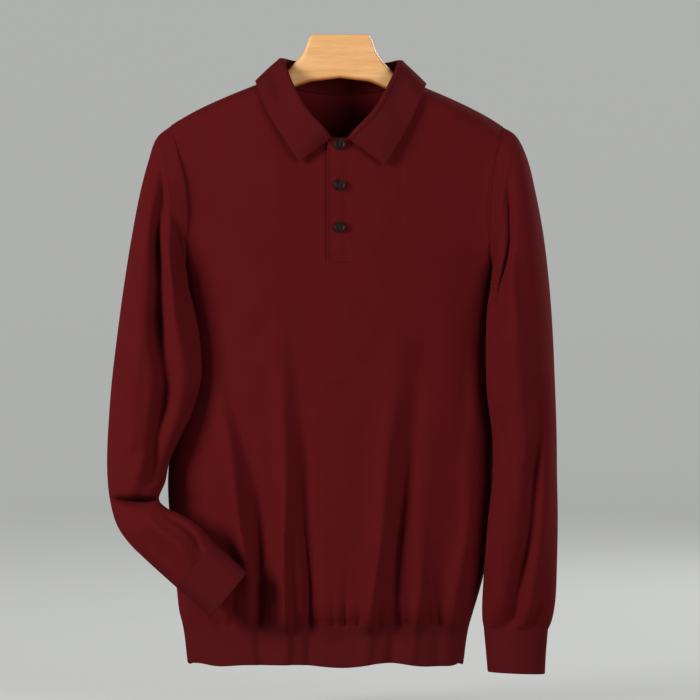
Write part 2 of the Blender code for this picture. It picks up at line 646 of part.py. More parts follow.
def band_grid(left, right, top, bottom, lift, columns, rows, tongue=None):
    """A band that follows the front panel, lifted off its middle surface along Y. Its top can
    narrow to a tongue (half width, drop) that passes between the collar's ends."""
    x = np.linspace(left, right, columns)[None, :]
    drop = np.linspace(top, bottom, rows)[:, None]
    if tongue:
        drop = np.concatenate([[top], np.linspace(tongue[1], bottom, rows - 1)])[:, None]
        narrow = np.linspace(-tongue[0], tongue[0], columns)[None, :]
        x = np.where(drop < tongue[1] + 0.0015, narrow, x)
    part = body_part(x, drop)
    reach = body_reach(FRONT, part, drop, 0.0)
    top_here = top_line(FRONT, part)
    below = np.clip((drop - top_here) / SHOULDER_ROLL, 0, 1)
    reach = NECK_FRONT_REACH + (reach - NECK_FRONT_REACH) * np.sqrt(1 - (1 - below)**2)
    return np.stack(np.broadcast_arrays(x, -(reach + lift), -drop), axis=-1)


PLACKET_TOP_DROP = 0.1250
COLLAR_FOOT_DROP = 0.1325    # below this the band has its full width
TONGUE_HALF = 0.0078
BAND_LIFT = (WALL + RIB_WALL) / 2 + SEAM_GAP


def make_placket(material):
    top = band_grid(PLACKET_LEFT, PLACKET_RIGHT, PLACKET_TOP_DROP, PLACKET_DROP, BAND_LIFT, 3, 11,
                    (TONGUE_HALF, COLLAR_FOOT_DROP))
    cloth_wall("placket_top", top, facing(top, False, (0, -1, 0)), RIB_WALL, material)
    under = band_grid(-UNDER_BAND_HALF, UNDER_BAND_HALF, PLACKET_TOP_DROP + 0.010, PLACKET_DROP,
                      -BAND_LIFT, 3, 9)
    cloth_wall("placket_under", under, facing(under, False, (0, -1, 0)), RIB_WALL, material)


BUTTON_SIDES = 20
BUTTON_SHANK = 0.0005    # the thread holds it this far off the band


def make_button(number, drop, material):
    """A turned button: flat back, rounded rim and a dished face."""
    x = (PLACKET_LEFT + PLACKET_RIGHT) / 2 + 0.0006
    seat = band_grid(x, x, drop, drop + 0.001, BAND_LIFT + RIB_WALL / 2 + SEAM_GAP, 1, 2)[0, 0]
    profile = ((0.85, 0.0), (1.0, 0.35), (0.97, 0.8), (0.84, 1.0), (0.66, 0.72))
    turn = np.linspace(0, 2 * math.pi, BUTTON_SIDES, endpoint=False)
    vertices = []
    for radius, depth in profile:
        ring = BUTTON_RADIUS * radius
        vertices += [(seat[0] + ring * math.cos(a), seat[1] - BUTTON_THICKNESS * depth - BUTTON_SHANK,
                      seat[2] + ring * math.sin(a)) for a in turn]
    faces = [tuple(range(BUTTON_SIDES))[::-1]]
    for k in range(len(profile) - 1):
        for a in range(BUTTON_SIDES):
            b = (a + 1) % BUTTON_SIDES
            low = k * BUTTON_SIDES
            high = low + BUTTON_SIDES
            faces.append((low + a, low + b, high + b, high + a))
    faces.append(tuple(range((len(profile) - 1) * BUTTON_SIDES, len(profile) * BUTTON_SIDES)))
    make_object(f"button_{number}", vertices, faces, material)


# ---- Hanger ----

HANGER_SIDES = 12
HANGER_CORNER = 0.55     # how round its cross-section is: 1 is an ellipse, 0 a box
FLAT_HALF = 0.0340       # half the length of its flat top


def make_hanger(material):
    """The wooden hanger: rounded cross-sections along its length, and a flat top."""
    table = np.asarray(HANGER)
    away = np.concatenate([table[:, 0], (table[8:-1, 0] + table[9:, 0]) / 2])
    away = np.sort(away)
    places = np.concatenate([-away[:0:-1], away])
    turn = np.linspace(0, 2 * math.pi, HANGER_SIDES, endpoint=False) + math.pi / HANGER_SIDES
    sides = [tuple(np.interp(abs(x), table[:, 0], table[:, k]) for k in (1, 2, 3)) for x in places]
    vertices = []
    for x, (top, under, half) in zip(places, sides):
        shift = SHOULDER_TILT * x if abs(x) > FLAT_HALF + 0.001 else 0.0
        middle = (top + under) / 2
        corner = float(np.interp(abs(x), (FLAT_HALF, 0.065), (HANGER_CORNER, 0.9)))
        wide = np.sign(np.cos(turn)) * np.abs(np.cos(turn))**corner
        tall = np.sign(np.sin(turn)) * np.abs(np.sin(turn))**corner
        vertices += [(x, half * w / wide.max(), -(middle - (under - top) / 2 * t / tall.max()) - shift)
                     for w, t in zip(wide, tall)]
    faces = [tuple(range(HANGER_SIDES))[::-1]]
    for k in range(len(places) - 1):
        low = k * HANGER_SIDES
        for a in range(HANGER_SIDES):
            b = (a + 1) % HANGER_SIDES
            faces.append((low + a, low + b, low + b + HANGER_SIDES, low + a + HANGER_SIDES))
    last = (len(places) - 1) * HANGER_SIDES
    faces.append(tuple(range(last, last + HANGER_SIDES)))
    make_object("hanger", vertices, faces, material)


def main():
    for thing in list(bpy.data.objects):
        bpy.data.objects.remove(thing)
    jersey = plain_material("burgundy_jersey", (0.074, 0.0062, 0.0075), 0.9)
    rib = plain_material("burgundy_rib", (0.068, 0.0058, 0.0072), 0.92)
    horn = plain_material("dark_button", (0.012, 0.009, 0.008), 0.35)
    wood = plain_material("pale_wood", (0.78, 0.45, 0.18), 0.45)
    make_panels(jersey)
    make_hem(rib)
    make_sleeve("sleeve_right", RIGHT_SLEEVE, RIGHT_CREASES, 1, RIGHT_PLACES, jersey)
    make_sleeve("sleeve_left", LEFT_SLEEVE, LEFT_CREASES, -1, LEFT_PLACES, jersey)
    make_cuff("cuff_right", RIGHT_CUFF, 1, rib)
    make_cuff("cuff_left", LEFT_CUFF, -1, rib)
    make_collar(rib)
    make_placket(rib)
    for number, drop in enumerate(BUTTON_DROPS, 1):
        make_button(number, drop, horn)
    make_hanger(wood)


main()
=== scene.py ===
# %% [markdown]
# # A knitted polo sweater on a wooden hanger
# The real object is a fine-gauge knitted sweater: two panels, two long sleeves, ribbed bands at
# the hem and wrists, a fold-over collar and a three-button placket. It hangs on a plain wooden
# hanger. Everything here is built round the fixed frame, which holds the plain solids.

# %% The frame
import math

import bpy
import numpy as np
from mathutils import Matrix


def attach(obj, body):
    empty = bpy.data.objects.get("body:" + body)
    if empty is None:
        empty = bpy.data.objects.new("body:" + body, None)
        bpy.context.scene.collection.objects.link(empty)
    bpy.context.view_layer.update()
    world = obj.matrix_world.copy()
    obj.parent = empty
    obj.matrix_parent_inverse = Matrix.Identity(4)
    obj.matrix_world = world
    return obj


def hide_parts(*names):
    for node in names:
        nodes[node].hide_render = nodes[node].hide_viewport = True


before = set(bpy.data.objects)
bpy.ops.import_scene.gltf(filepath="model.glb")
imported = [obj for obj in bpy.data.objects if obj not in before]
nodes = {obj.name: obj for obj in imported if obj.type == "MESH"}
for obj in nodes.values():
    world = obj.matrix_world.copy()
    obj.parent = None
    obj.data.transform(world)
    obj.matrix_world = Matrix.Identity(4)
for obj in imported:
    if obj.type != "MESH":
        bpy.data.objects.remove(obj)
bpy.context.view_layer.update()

print("nodes in the frame:", ", ".join(sorted(nodes)))

# %% [markdown]
# ## Camera, floor and light
# A garment is photographed from straight in front with a long lens, which keeps its proportions.
# The ground is a wide pale bowl, flat in the middle and curved up far away, so that no horizon
# crosses the picture. The lights shine one way, so from behind a line crosses the ground where
# their reach ends.

# %% Camera
camera_data = bpy.data.cameras.new("camera")
camera_data.lens = 200.0
camera_data.sensor_width = 36.0
camera_data.clip_end = 100.0
camera = bpy.data.objects.new("camera", camera_data)
PICTURE_WIDTH = 0.8207                       # metres across the picture, in the sweater's plane
PICTURE_X, PICTURE_Z = 0.0117, -0.3740       # what the middle of the picture shows
SWEATER_FRONT = 0.05                         # how far that plane lies in front of the hanger
camera_distance = PICTURE_WIDTH * camera_data.lens / camera_data.sensor_width
camera.location = (PICTURE_X, -SWEATER_FRONT - camera_distance, PICTURE_Z)
camera.rotation_euler = (math.radians(90), 0, 0)
scene = bpy.context.scene
scene.collection.objects.link(camera)
scene.camera = camera
scene.view_settings.view_transform = "Standard"
print(f"camera {camera_distance:.2f} m in front")


# %% Surfaces from grids
def mesh_object(name, vertices, faces, material, uv=None, sharp=50):
    """An object from arrays of vertices and faces, with one UV pair for each face corner."""
    mesh = bpy.data.meshes.new(name)
    mesh.from_pydata(vertices, [], faces)
    if uv is not None:
        mesh.uv_layers.new(name="cloth").data.foreach_set("uv", np.asarray(uv, np.float32).ravel())
    mesh.update()
    mesh.shade_smooth()
    if sharp:
        mesh.set_sharp_from_angle(angle=math.radians(sharp))
    mesh.materials.append(material)
    made = bpy.data.objects.new(name, mesh)
    scene.collection.objects.link(made)
    return made


def grid_faces(rows, columns, around=False):
    """The cells of a grid as rows of four vertex numbers."""
    r, c = np.meshgrid(np.arange(rows - 1), np.arange(columns if around else columns - 1),
                       indexing="ij")
    d = (c + 1) % columns
    return np.stack([r * columns + c, r * columns + d,
                     (r + 1) * columns + d, (r + 1) * columns + c], axis=-1).reshape(-1, 4)


def full_turn(count):
    """Angles of a closed ring, an even step apart."""
    return np.linspace(0, 2 * math.pi, count, endpoint=False)


def capped(rows, columns):
    """The faces of a stack of rings, with a flat cap over the first and the last ring."""
    ring = list(range(columns))
    last = [(rows - 1) * columns + k for k in ring]
    return grid_faces(rows, columns, True).tolist() + [ring[::-1], last]


def stands_for(piece, node=None):
    """Says which body a piece rides and the plain solid it replaces."""
    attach(piece, "root")
    if node:
        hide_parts(node)
    return piece


# %% Floor
GROUND_DROP = 0.800
GROUND_FLAT, GROUND_BEND, GROUND_WALL = 5.8, 1.8, 5.0      # metres out, round and up
GROUND_SIDES = 96


def ground_bowl():
    """Rings round the vertical axis: flat far out, then a quarter circle up to a wall."""
    bend = np.linspace(0, math.pi / 2, 24)
    radius = np.concatenate([[0.02, 1.0, 3.0], GROUND_FLAT + GROUND_BEND * np.sin(bend),
                             [GROUND_FLAT + GROUND_BEND]])
    height = np.concatenate([[0, 0, 0], GROUND_BEND * (1 - np.cos(bend)), [GROUND_WALL]])
    turn = full_turn(GROUND_SIDES)
    points = np.stack(np.broadcast_arrays(
        radius[:, None] * np.cos(turn), radius[:, None] * np.sin(turn),
        height[:, None] - GROUND_DROP), axis=-1)
    faces = grid_faces(len(radius), GROUND_SIDES, True).tolist()
    return points.reshape(-1, 3), faces + [list(range(GROUND_SIDES))]


def new_material(name, constants):
    """A Principled material with constants on its sockets, a short way to add linked nodes and
    one to link an output to the shader."""
    material = bpy.data.materials.new(name)
    material.use_nodes = True
    tree = material.node_tree
    shader = tree.nodes["Principled BSDF"]
    for socket, value in constants.items():
        shader.inputs[socket].default_value = value

    def add(kind, inputs=(), **settings):
        node = tree.nodes.new(kind)
        for key, value in settings.items():
            setattr(node, key, value)
        for key, value in dict(inputs).items():
            if isinstance(value, bpy.types.NodeSocket):
                tree.links.new(value, node.inputs[key])
            else:
                node.inputs[key].default_value = value
        return node

    def show(output, socket):
        tree.links.new(output, shader.inputs[socket])

    return material, add, show


paper, _, _ = new_material("pale_ground", {
    "Base Color": (0.24, 0.243, 0.237, 1), "Roughness": 1.0, "Specular IOR Level": 0.1,
    "Emission Color": (0.56, 0.57, 0.55, 1), "Emission Strength": 0.62})
vertices, faces = ground_bowl()
floor = mesh_object("floor", vertices, faces, paper)
floor.visible_diffuse = False                # a dark room in front keeps the folds deep


# %% Lights
def softbox(name, place, target, size, watts, color=(1, 1, 1)):
    """A square area light at place, turned to face target."""
    data = bpy.data.lights.new(name, "AREA")
    data.size, data.energy, data.color = size, watts, color
    light = bpy.data.objects.new(name, data)
    way = np.subtract(target, place)
    light.location = place
    light.rotation_euler = (math.atan2(math.hypot(way[0], way[1]), -way[2]), 0,
                            math.atan2(way[1], way[0]) - math.pi / 2)
    scene.collection.objects.link(light)


chest = (0.0, 0.0, -0.35)
softbox("key_left", (-3.0, -2.0, 0.5), chest, 1.3, 156, (1.0, 0.985, 0.965))
softbox("fill_right", (2.6, -2.9, 0.3), chest, 2.0, 100, (0.97, 0.98, 1.0))
softbox("back_right", (2.4, 2.4, 1.2), chest, 1.6, 90)
world = bpy.data.worlds.new("studio")
world.use_nodes = True
sky = world.node_tree.nodes["Background"].inputs
sky["Color"].default_value = (0.80, 0.81, 0.82, 1)
sky["Strength"].default_value = 0.20
scene.world = world
print("three soft lights and a pale sky")

# %% [markdown]
# ## Knitted cloth
# Plain knit is rows of interlocked loops: each stitch shows two slanting legs, side by side in
# upright columns called wales. At this gauge a wale is about a millimetre and a half wide, so it
# is painted as a bump along the cloth's own UV map, which is in metres, and the colour gets painted
# shade where the bump is low. The yarn's many fibres give a soft glow at the edges, which is the
# sheen, and small uneven tones.

# %% Knit materials
CLOUD_SCALE, FIBRE_SCALE = 26.0, 900.0       # noise over a hand's width, and within a stitch


def noise(add, vector, scale, detail, stretch=None, roughness=0.5):
    """Noise on coordinates that may be stretched first."""
    if stretch:
        vector = add("ShaderNodeMapping", {"Vector": vector, "Scale": stretch}).outputs[0]
    return add("ShaderNodeTexNoise", {"Vector": vector, "Scale": scale, "Detail": detail,
                                      "Roughness": roughness}).outputs[0]


def ramp(add, value, *ends):
    """A blend between two colours, each at its own place."""
    node = add("ShaderNodeValToRGB", {"Fac": value})
    for element, (position, color) in zip(node.color_ramp.elements, ends):
        element.position, element.color = position, (*color, 1)
    return node.outputs[0]


def knit_material(name, color, dark, wale, course, slant, bump, sheen, rib=False):
    """Knit on a UV map in metres. Height = sine across the two legs of each wale, times a sine
    along them that is pushed down by the slant; colour = a blend from the darker colour to the
    base, by painted shade where the height is low, between the legs and loops, and by soft cloudy
    tones from noise."""
    material, add, show = new_material(name, {
        "Roughness": 0.92, "Specular IOR Level": 0.04, "Sheen Weight": sheen,
        "Sheen Roughness": 0.55, "Sheen Tint": (0.90, 0.10, 0.10, 1)})
    uv = add("ShaderNodeUVMap", uv_map="cloth").outputs["UV"]
    place = add("ShaderNodeSeparateXYZ", {"Vector": uv}).outputs

    def maths(operation, a, b=0.0, c=0.0):
        return add("ShaderNodeMath", {0: a, 1: b, 2: c}, operation=operation).outputs[0]

    def wave(kind, turns):
        return maths(kind, maths("MULTIPLY", turns, 2 * math.pi))

    across = maths("DIVIDE", place[0], wale)
    along = maths("DIVIDE", place[1], course)
    leg = maths("PINGPONG", across, 0.5)                       # 0 at a wale's edge, 0.5 in it
    loops = maths("MULTIPLY_ADD", wave("SINE", maths("MULTIPLY_ADD", leg, slant, along)), 0.5, 0.5)
    if rib:
        round_wale = maths("MULTIPLY_ADD", wave("COSINE", across), 0.5, 0.5)
        height = maths("MULTIPLY_ADD", loops, 0.18, round_wale)
    else:
        legs = maths("ABSOLUTE", wave("SINE", across))
        height = maths("MULTIPLY_ADD", loops, 0.55, maths("MULTIPLY", legs, 0.75))
    cloud = noise(add, uv, CLOUD_SCALE, 3.0)
    fibre = noise(add, uv, FIBRE_SCALE, 2.0)
    shade = maths("MULTIPLY_ADD", cloud, 0.35, maths("MULTIPLY", fibre, 0.30))
    # painted shade: where the stitch height is low, between the legs and loops, the colour goes
    # darker
    shade = maths("MULTIPLY_ADD", height, 0.45, shade)
    mixed = add("ShaderNodeMapRange", {0: shade, 1: 0.15, 2: 1.05}).outputs[0]
    colour = add("ShaderNodeMix", {"Factor": mixed, 6: (*dark, 1), 7: (*color, 1)},
                 data_type="RGBA")
    show(colour.outputs[2], "Base Color")
    fuzzy = maths("MULTIPLY_ADD", fibre, 0.25, height)
    raised = add("ShaderNodeBump", {"Height": fuzzy, "Strength": 0.55, "Distance": bump})
    show(raised.outputs[0], "Normal")
    return material


#  colour, darker colour for the painted shade between the legs and the cloudy tones, wale, course,
#  slant, bump, sheen
jersey = knit_material("burgundy_jersey", (0.093, 0.0058, 0.0072), (0.060, 0.0034, 0.0042),
                       0.0016, 0.0013, 0.9, 0.00024, 0.025)
rib = knit_material("burgundy_rib", (0.076, 0.0058, 0.0074), (0.058, 0.0042, 0.0053),
                    0.0024, 0.0013, 0.6, 0.00016, 0.020, rib=True)
seam = knit_material("burgundy_linking", (0.084, 0.0054, 0.0068), (0.052, 0.0032, 0.0040),
                     0.0012, 0.0012, 0.9, 0.00020, 0.020)
band_knit = knit_material("burgundy_band", (0.093, 0.0058, 0.0072), (0.064, 0.0038, 0.0047),
                          0.0024, 0.0013, 0.6, 0.00010, 0.020, rib=True)
print("knit materials:", jersey.name, rib.name, seam.name, band_knit.name)

# %% [markdown]
# ## Curves and walls
# Cloth is a wall: a middle surface on a grid, moved out and in along its own normals. A width, a
# depth or a drop that changes along the body is a smooth line through a few measured places.
# "Drop" is how far a point lies below the hanger's top. Tables hold tenths of a millimetre.

# %% Smooth lines
WALL = 0.0020
RIB_WALL = 0.0024
SEAM_GAP = 0.0003


def curve(places, values, at):
    """A smooth line through the places: cubic pieces with each point's mean slope. The values
    may be numbers, or whole rings of points."""
    places, values = np.asarray(places, float), np.asarray(values, float)
    slopes = np.gradient(values, places, axis=0)
    at = np.clip(at, places[0], places[-1])
    i = np.clip(np.searchsorted(places, at) - 1, 0, len(places) - 2)
    span = places[i + 1] - places[i]
    t = (at - places[i]) / span
    if values.ndim > 1:
        t, span = (np.reshape(a, (-1,) + (1,) * (values.ndim - 1)) for a in (t, span))
    return ((1 + 2 * t) * (1 - t)**2 * values[i] + t * (1 - t)**2 * span * slopes[i]
            + t * t * (3 - 2 * t) * values[i + 1] + t * t * (t - 1) * span * slopes[i + 1])


def tenths(*rows, first=0):
    """A table in tenths of a millimetre as an array in metres, from its first length on."""
    table = np.array(rows, float)
    table[:, first:] /= 10000
    return table


def column(table, number, at):
    """One column of a table as a smooth function of its first column."""
    return curve(table[:, 0], table[:, number], at)


def unit(vectors):
    """Vectors of length one in the same directions."""
    return vectors / np.maximum(np.linalg.norm(vectors, axis=-1, keepdims=True), 1e-12)


def smooth_step(value):
    """0 below 0, 1 above 1, and a soft s-curve in between."""
    value = np.clip(value, 0, 1)
    return value * value * (3 - 2 * value)


def half_circle(run):
    """Height of a half circle over its width: 0 at both ends, 1 in the middle."""
    return 2 * np.sqrt(run * (1 - run))


def quarter_circle(run, least=0.0):
    """Height of a quarter circle over its width: steep at the start, level at the end."""
    return np.sqrt(1 - (1 - np.clip(run, least, 1))**2)


def facing(points, around, towards):
    """Normals of a grid of points, turned to the side that `towards` names."""
    down = np.gradient(points, axis=0)
    if around:
        across = np.roll(points, -1, axis=1) - np.roll(points, 1, axis=1)
    else:
        across = np.gradient(points, axis=1)
    normals = unit(np.cross(across, down))
    return -normals if np.sum(normals * towards) < 0 else normals


def outwards(rings):
    """Normals of a closed tube of rings, pointing away from each ring's middle."""
    return facing(rings, True, unit(rings - rings.mean(axis=1, keepdims=True)))

# %% Cloth walls
def cloth_map(points, around):
    """UV in metres: u is the length along each row from the middle column, v the mean length
    down the columns. A closed ring gets one column more, so that its seam has no jump."""
    if around:
        points = np.concatenate([points, points[:, :1]], axis=1)
    across = np.linalg.norm(np.diff(points, axis=1), axis=-1)
    u = np.concatenate([np.zeros((len(points), 1)), np.cumsum(across, axis=1)], axis=1)
    if not around:
        u = u - u[:, [u.shape[1] // 2]]
    down = np.linalg.norm(np.diff(points, axis=0), axis=-1)
    middle = down[:, [down.shape[1] // 2]]
    v = np.concatenate([[[0.0]], np.cumsum(middle, axis=0)], axis=0)
    return np.stack(np.broadcast_arrays(u, -v), axis=-1)


def cloth_wall(name, node, middle, normals, thickness, material, around=False, keep=None):
    """A closed wall: the middle surface moved out and in by half the thickness, with its open
    edges joined. keep marks the grid's cells that are cloth."""
    rows, columns = middle.shape[:2]
    thickness = np.broadcast_to(thickness, (rows, columns))[..., None]
    half = normals * thickness / 2
    points = np.concatenate([(middle + half).reshape(-1, 3), (middle - half).reshape(-1, 3)])
    cells = grid_faces(rows, columns, around)
    chart = cloth_map(middle, around)
    corners = grid_faces(rows, chart.shape[1])
    if keep is not None:
        cells, corners = cells[keep.ravel()], corners[keep.ravel()]
    sample = cells[len(cells) // 2]
    turn = np.cross(points[sample[1]] - points[sample[0]], points[sample[3]] - points[sample[0]])
    if np.dot(turn, half.reshape(-1, 3)[sample[0]]) < 0:
        cells, corners = cells[:, ::-1], corners[:, ::-1]
    inside = rows * columns
    first, first_uv = cells.T.ravel(), corners.T.ravel()
    second, second_uv = [np.roll(grid, -1, axis=1).T.ravel() for grid in (cells, corners)]
    lone = ~np.isin(first * inside + second, second * inside + first)
    rim = np.stack([second[lone], first[lone], first[lone] + inside, second[lone] + inside], axis=1)
    rim_uv = np.stack([second_uv[lone], first_uv[lone], first_uv[lone], second_uv[lone]], axis=1)
    faces = np.concatenate([cells, cells[:, ::-1] + inside, rim])
    flat = chart.reshape(-1, 2)[np.concatenate([corners, corners[:, ::-1], rim_uv]).ravel()]
    used, faces = np.unique(faces, return_inverse=True)
    made = mesh_object(name, points[used], faces.reshape(-1, 4).tolist(), material, flat)
    print(f"{name}: {2 * len(faces.reshape(-1, 4))} triangles")
    return stands_for(made, node)

# %% [markdown]
# ## The body
# Front and back are flat knitted panels. On a hanger each hangs from its shoulder seam, rolls over
# the wood at the top, and falls in long soft folds because the hanger is narrower than the cloth.
# The outline comes from measured widths, the folds from soft bells that follow lines down the
# cloth. A bell may be steeper on one side, which is how a fold leans.

# %% Sizes of the body
DROP, LEFT, CENTRE, RIGHT, FRONT, BACK = range(6)              # columns of the outline
HEM_SEAM_DROP = 0.6970
HEM_DROP = 0.7455
HEM_WAVE = 0.0012
UNDERARM_DROP = 0.2920
ARMHOLE = {FRONT: 0.0350, BACK: 0.0330}
SHOULDER_ROLL = 0.0200
SHOULDER_TILT = 0.015
NECK_PART = 0.404
NECK_SIDE_DROP = 0.0545
NECK_DROP = {FRONT: 0.1310, BACK: 0.0710}
NECK_REACH = {FRONT: 0.0440, BACK: 0.0350}
NECK_ROUNDNESS = 2.2
SLOT_PART = 0.0505
PLACKET_DROP = 0.2730
SIDE_ROUNDNESS, SIDE_FULLNESS = 2.6, 0.55
SIDE_PARTS = (-1.0, -0.99, 0.99, 1.0)        # both side seams, and places close to them
SWELL_FADES, SWELL_ENDS = 0.70, 1.45

#        drop  left  centre  right  front  back
OUTLINE = tenths(
    (500, -1980, 0, 1910, 300, 270),
    (1070, -1980, 0, 1910, 400, 330),
    (1400, -1915, 0, 1840, 450, 370),
    (1770, -1835, 0, 1785, 475, 400),
    (2330, -1800, 0, 1755, 490, 420),
    (2980, -1810, -5, 1765, 500, 430),
    (3740, -1800, -30, 1775, 500, 430),
    (4560, -1940, -80, 1810, 500, 430),
    (5200, -2025, -120, 1800, 500, 430),
    (5970, -1985, -135, 1770, 495, 430),
    (6550, -1925, -145, 1650, 490, 420),
    (6850, -1890, -155, 1560, 460, 390),
    (6970, -1860, -160, 1525, 400, 340),
    (7460, -1795, -175, 1445, 380, 330),
)
# Seam of the shoulder: distance from the centre, drop
SHOULDER = tenths((800, 545), (1000, 630), (1290, 752), (1650, 922), (1980, 1107))

# Long folds: start, middle and end (drop, x each), half width left and right, height
FOLDS = {FRONT: tenths(
    (3400, -1680, 5000, -1290, 6400, -1090, 125, 82, 88),
    (3500, -1520, 5000, -1080, 7460, -930, 80, 120, -100),
    (2900, -730, 4900, -660, 7460, -650, 105, 72, 92),
    (3100, -560, 5000, -450, 7460, -350, 70, 125, -85),
    (2900, 780, 5000, 560, 7460, 310, 135, 80, 90),
    (2900, 1150, 5000, 770, 7460, 580, 80, 125, -95),
    (4800, 1060, 6000, 960, 7460, 860, 80, 70, 40),
    (3300, 1540, 5200, 1560, 7000, 1340, 120, 75, 85),
    (5200, 1300, 6100, 1220, 7460, 1130, 100, 80, -40),
    (3000, 1560, 3800, 1500, 4700, 1460, 120, 100, -30),
), BACK: tenths(
    (3300, -1250, 5200, -1150, 7460, -1050, 110, 160, -85),
    (3000, -800, 5200, -750, 7460, -660, 160, 110, 75),
    (3600, -350, 5400, -300, 7460, -260, 110, 150, -60),
    (3000, 50, 4800, 40, 6600, -20, 130, 100, 30),
    (3400, 400, 5200, 340, 7460, 220, 130, 150, 70),
    (3100, 900, 5200, 800, 7460, 660, 160, 110, -85),
    (3800, 1350, 5600, 1300, 7000, 1150, 130, 110, 60),
    (5200, -1520, 6200, -1450, 7460, -1360, 90, 110, 40),
)}
FOLD_DEPTH = 1.4
FOLD_WANDER = 0.0016                         # how far a fold strays from its line
FOLD_GROWS = 0.75                            # part of its length over which it grows
FOLD_WIDE, FOLD_NARROWS = 1.5, 0.72          # its width at the start, and what it loses
FOLD_RUNS_OUT = 0.060                        # metres over which an early end fades
# The springy rib takes this share off the folds, from just above its seam, over two centimetres
HEM_EVENS, HEM_EVENS_FROM, HEM_EVENS_OVER = 0.65, 0.004, 0.020

# Gathers above the rib: place, length up the cloth, half width, depth
GATHERS = {FRONT: tenths(
    (-1600, 220, 40, 12), (-1410, 340, 34, 20), (-1270, 460, 42, 30),
    (-830, 300, 30, 16), (-200, 200, 30, 10), (-80, 340, 28, 22),
    (55, 600, 36, 42), (135, 220, 24, 18), (215, 360, 30, 30),
    (450, 180, 30, 14), (700, 300, 30, 26), (790, 400, 32, 34),
    (940, 220, 30, 16), (1045, 560, 34, 40), (1155, 640, 40, 46),
    (1310, 340, 30, 22), (1440, 260, 30, 14),
), BACK: tenths(
    (-1500, 400, 40, 30), (-1280, 240, 32, 18), (-920, 480, 38, 36),
    (-510, 300, 30, 22), (-400, 440, 36, 32), (-60, 260, 32, 20),
    (120, 500, 38, 36), (470, 340, 34, 26), (580, 200, 28, 14),
    (880, 460, 38, 34), (1120, 300, 34, 22), (1300, 380, 36, 28),
)}
GATHER_DEPTH, GATHER_LENGTH, GATHER_END = 1.3, 1.3, 0.010


# %% Shape of the body
def hem_line(part):
    """Drop of the seam between jersey and rib, which waves a little."""
    return HEM_SEAM_DROP + HEM_WAVE * np.sin(9.0 * part + 0.6)


def top_line(side, part):
    """Drop of a panel's upper end at each part of its width: shoulder seam or neckline."""
    half = np.where(part < 0, -OUTLINE[0, LEFT], OUTLINE[0, RIGHT])
    places, drops = SHOULDER.T
    shoulder = curve(places, drops, np.maximum(np.abs(part) * half, places[0]))
    dip = 1 - np.minimum(np.abs(part) / NECK_PART, 1)**NECK_ROUNDNESS
    return shoulder + (NECK_DROP[side] - NECK_SIDE_DROP) * dip + SHOULDER_TILT * part * half


def fullness(part):
    """A soft box across the body: 1 in the middle, 0 at the side seams."""
    return np.maximum(1 - np.minimum(np.abs(part), 1)**SIDE_ROUNDNESS, 0)**SIDE_FULLNESS


def folds(side, x, drop):
    """Height of the long folds: across each line a bell exp(-(distance/width)^2) with its own
    width on each side, along it a smooth rise and a slow swell that makes the fold uneven."""
    total = np.zeros(np.broadcast(x, drop).shape)
    for number, row in enumerate(FOLDS[side]):
        drops, places, (left, right, height) = row[:6:2], row[1:6:2], row[6:]
        start, end = drops[0], drops[2]
        strays = FOLD_WANDER * np.sin(31.0 * drop + 2.1 * number) * smooth_step((drop - 0.35) * 6)
        away = x - (curve(drops, places, drop) + strays)
        grown = smooth_step((drop - start) / ((end - start) * FOLD_GROWS))
        swell = 1 + 0.13 * np.sin(23.0 * drop + 1.7 * number)
        fade = 1
        if end < HEM_SEAM_DROP:
            fade = np.clip((end + FOLD_RUNS_OUT / 2 - drop) / FOLD_RUNS_OUT, 0, 1)
        width = np.where(away < 0, left, right) * (FOLD_WIDE - FOLD_NARROWS * grown)
        total = total + height * grown * fade * swell * np.exp(-(away / width)**2)
    in_rib = smooth_step((drop - HEM_SEAM_DROP + HEM_EVENS_FROM) / HEM_EVENS_OVER)
    return FOLD_DEPTH * total * (1 - HEM_EVENS * in_rib)


def gathers(side, x, drop):
    """Depth of the short gathers above the rib: narrow bells, deepest at the seam, gone just
    under it."""
    total = np.zeros(np.broadcast(x, drop).shape)
    above = HEM_SEAM_DROP - drop
    under = np.clip(1 + above / GATHER_END, 0, 1)**2
    for place, length, width, depth in GATHERS[side]:
        over = GATHER_DEPTH * np.clip(1 - above / (GATHER_LENGTH * length), 0, 1)**1.4
        line = place + 0.06 * above * np.sin(90 * place)
        bell = np.exp(-((x - line) / width)**2)
        total = total + depth * np.where(above > 0, over, under) * bell
    return total


def body_sides(drop):
    """The outline's left edge, middle and right edge at a drop."""
    return [column(OUTLINE, k, drop) for k in (LEFT, CENTRE, RIGHT)]


def body_x(part, drop):
    """Where a part of the body's width lies at a drop."""
    left, centre, right = body_sides(drop)
    return centre + np.where(part < 0, part * (centre - left), part * (right - centre))


def body_part(x, drop):
    """The other way round: which part of the width a place x lies at."""
    left, centre, right = body_sides(drop)
    return np.where(x < centre, (x - centre) / (centre - left), (x - centre) / (right - centre))


def armhole_swell(side, part, drop, full):
    """The chest swells towards the armhole, and the swell runs out below the underarm."""
    top = top_line(side, np.where(part < 0, -1.0, 1.0))
    run = (drop - top) / (UNDERARM_DROP - top)
    amount = half_circle(np.clip(run, 0, 0.5))
    amount = amount * (1 - smooth_step((run - SWELL_FADES) / (SWELL_ENDS - SWELL_FADES)))
    return ARMHOLE[side] * amount * ((1 - full)**2 - (1 - full)**6)


def body_reach(side, part, drop, edge=0.0):
    """How far the cloth lies forward or back of the side seams: a soft box with folds."""
    full = fullness(part)
    x = body_x(part, drop)
    reach = column(OUTLINE, side, drop) * full + edge * (1 - full)**6
    reach = reach + armhole_swell(side, part, drop, full)
    return reach + full * folds(side, x, drop) - full * gathers(side, x, drop)


def neck_reach(side, part):
    """How far the neckline lies forward or back of the shoulder seams: half an oval."""
    return NECK_REACH[side] * np.sqrt(1 - np.minimum(np.abs(part) / NECK_PART, 1)**2)


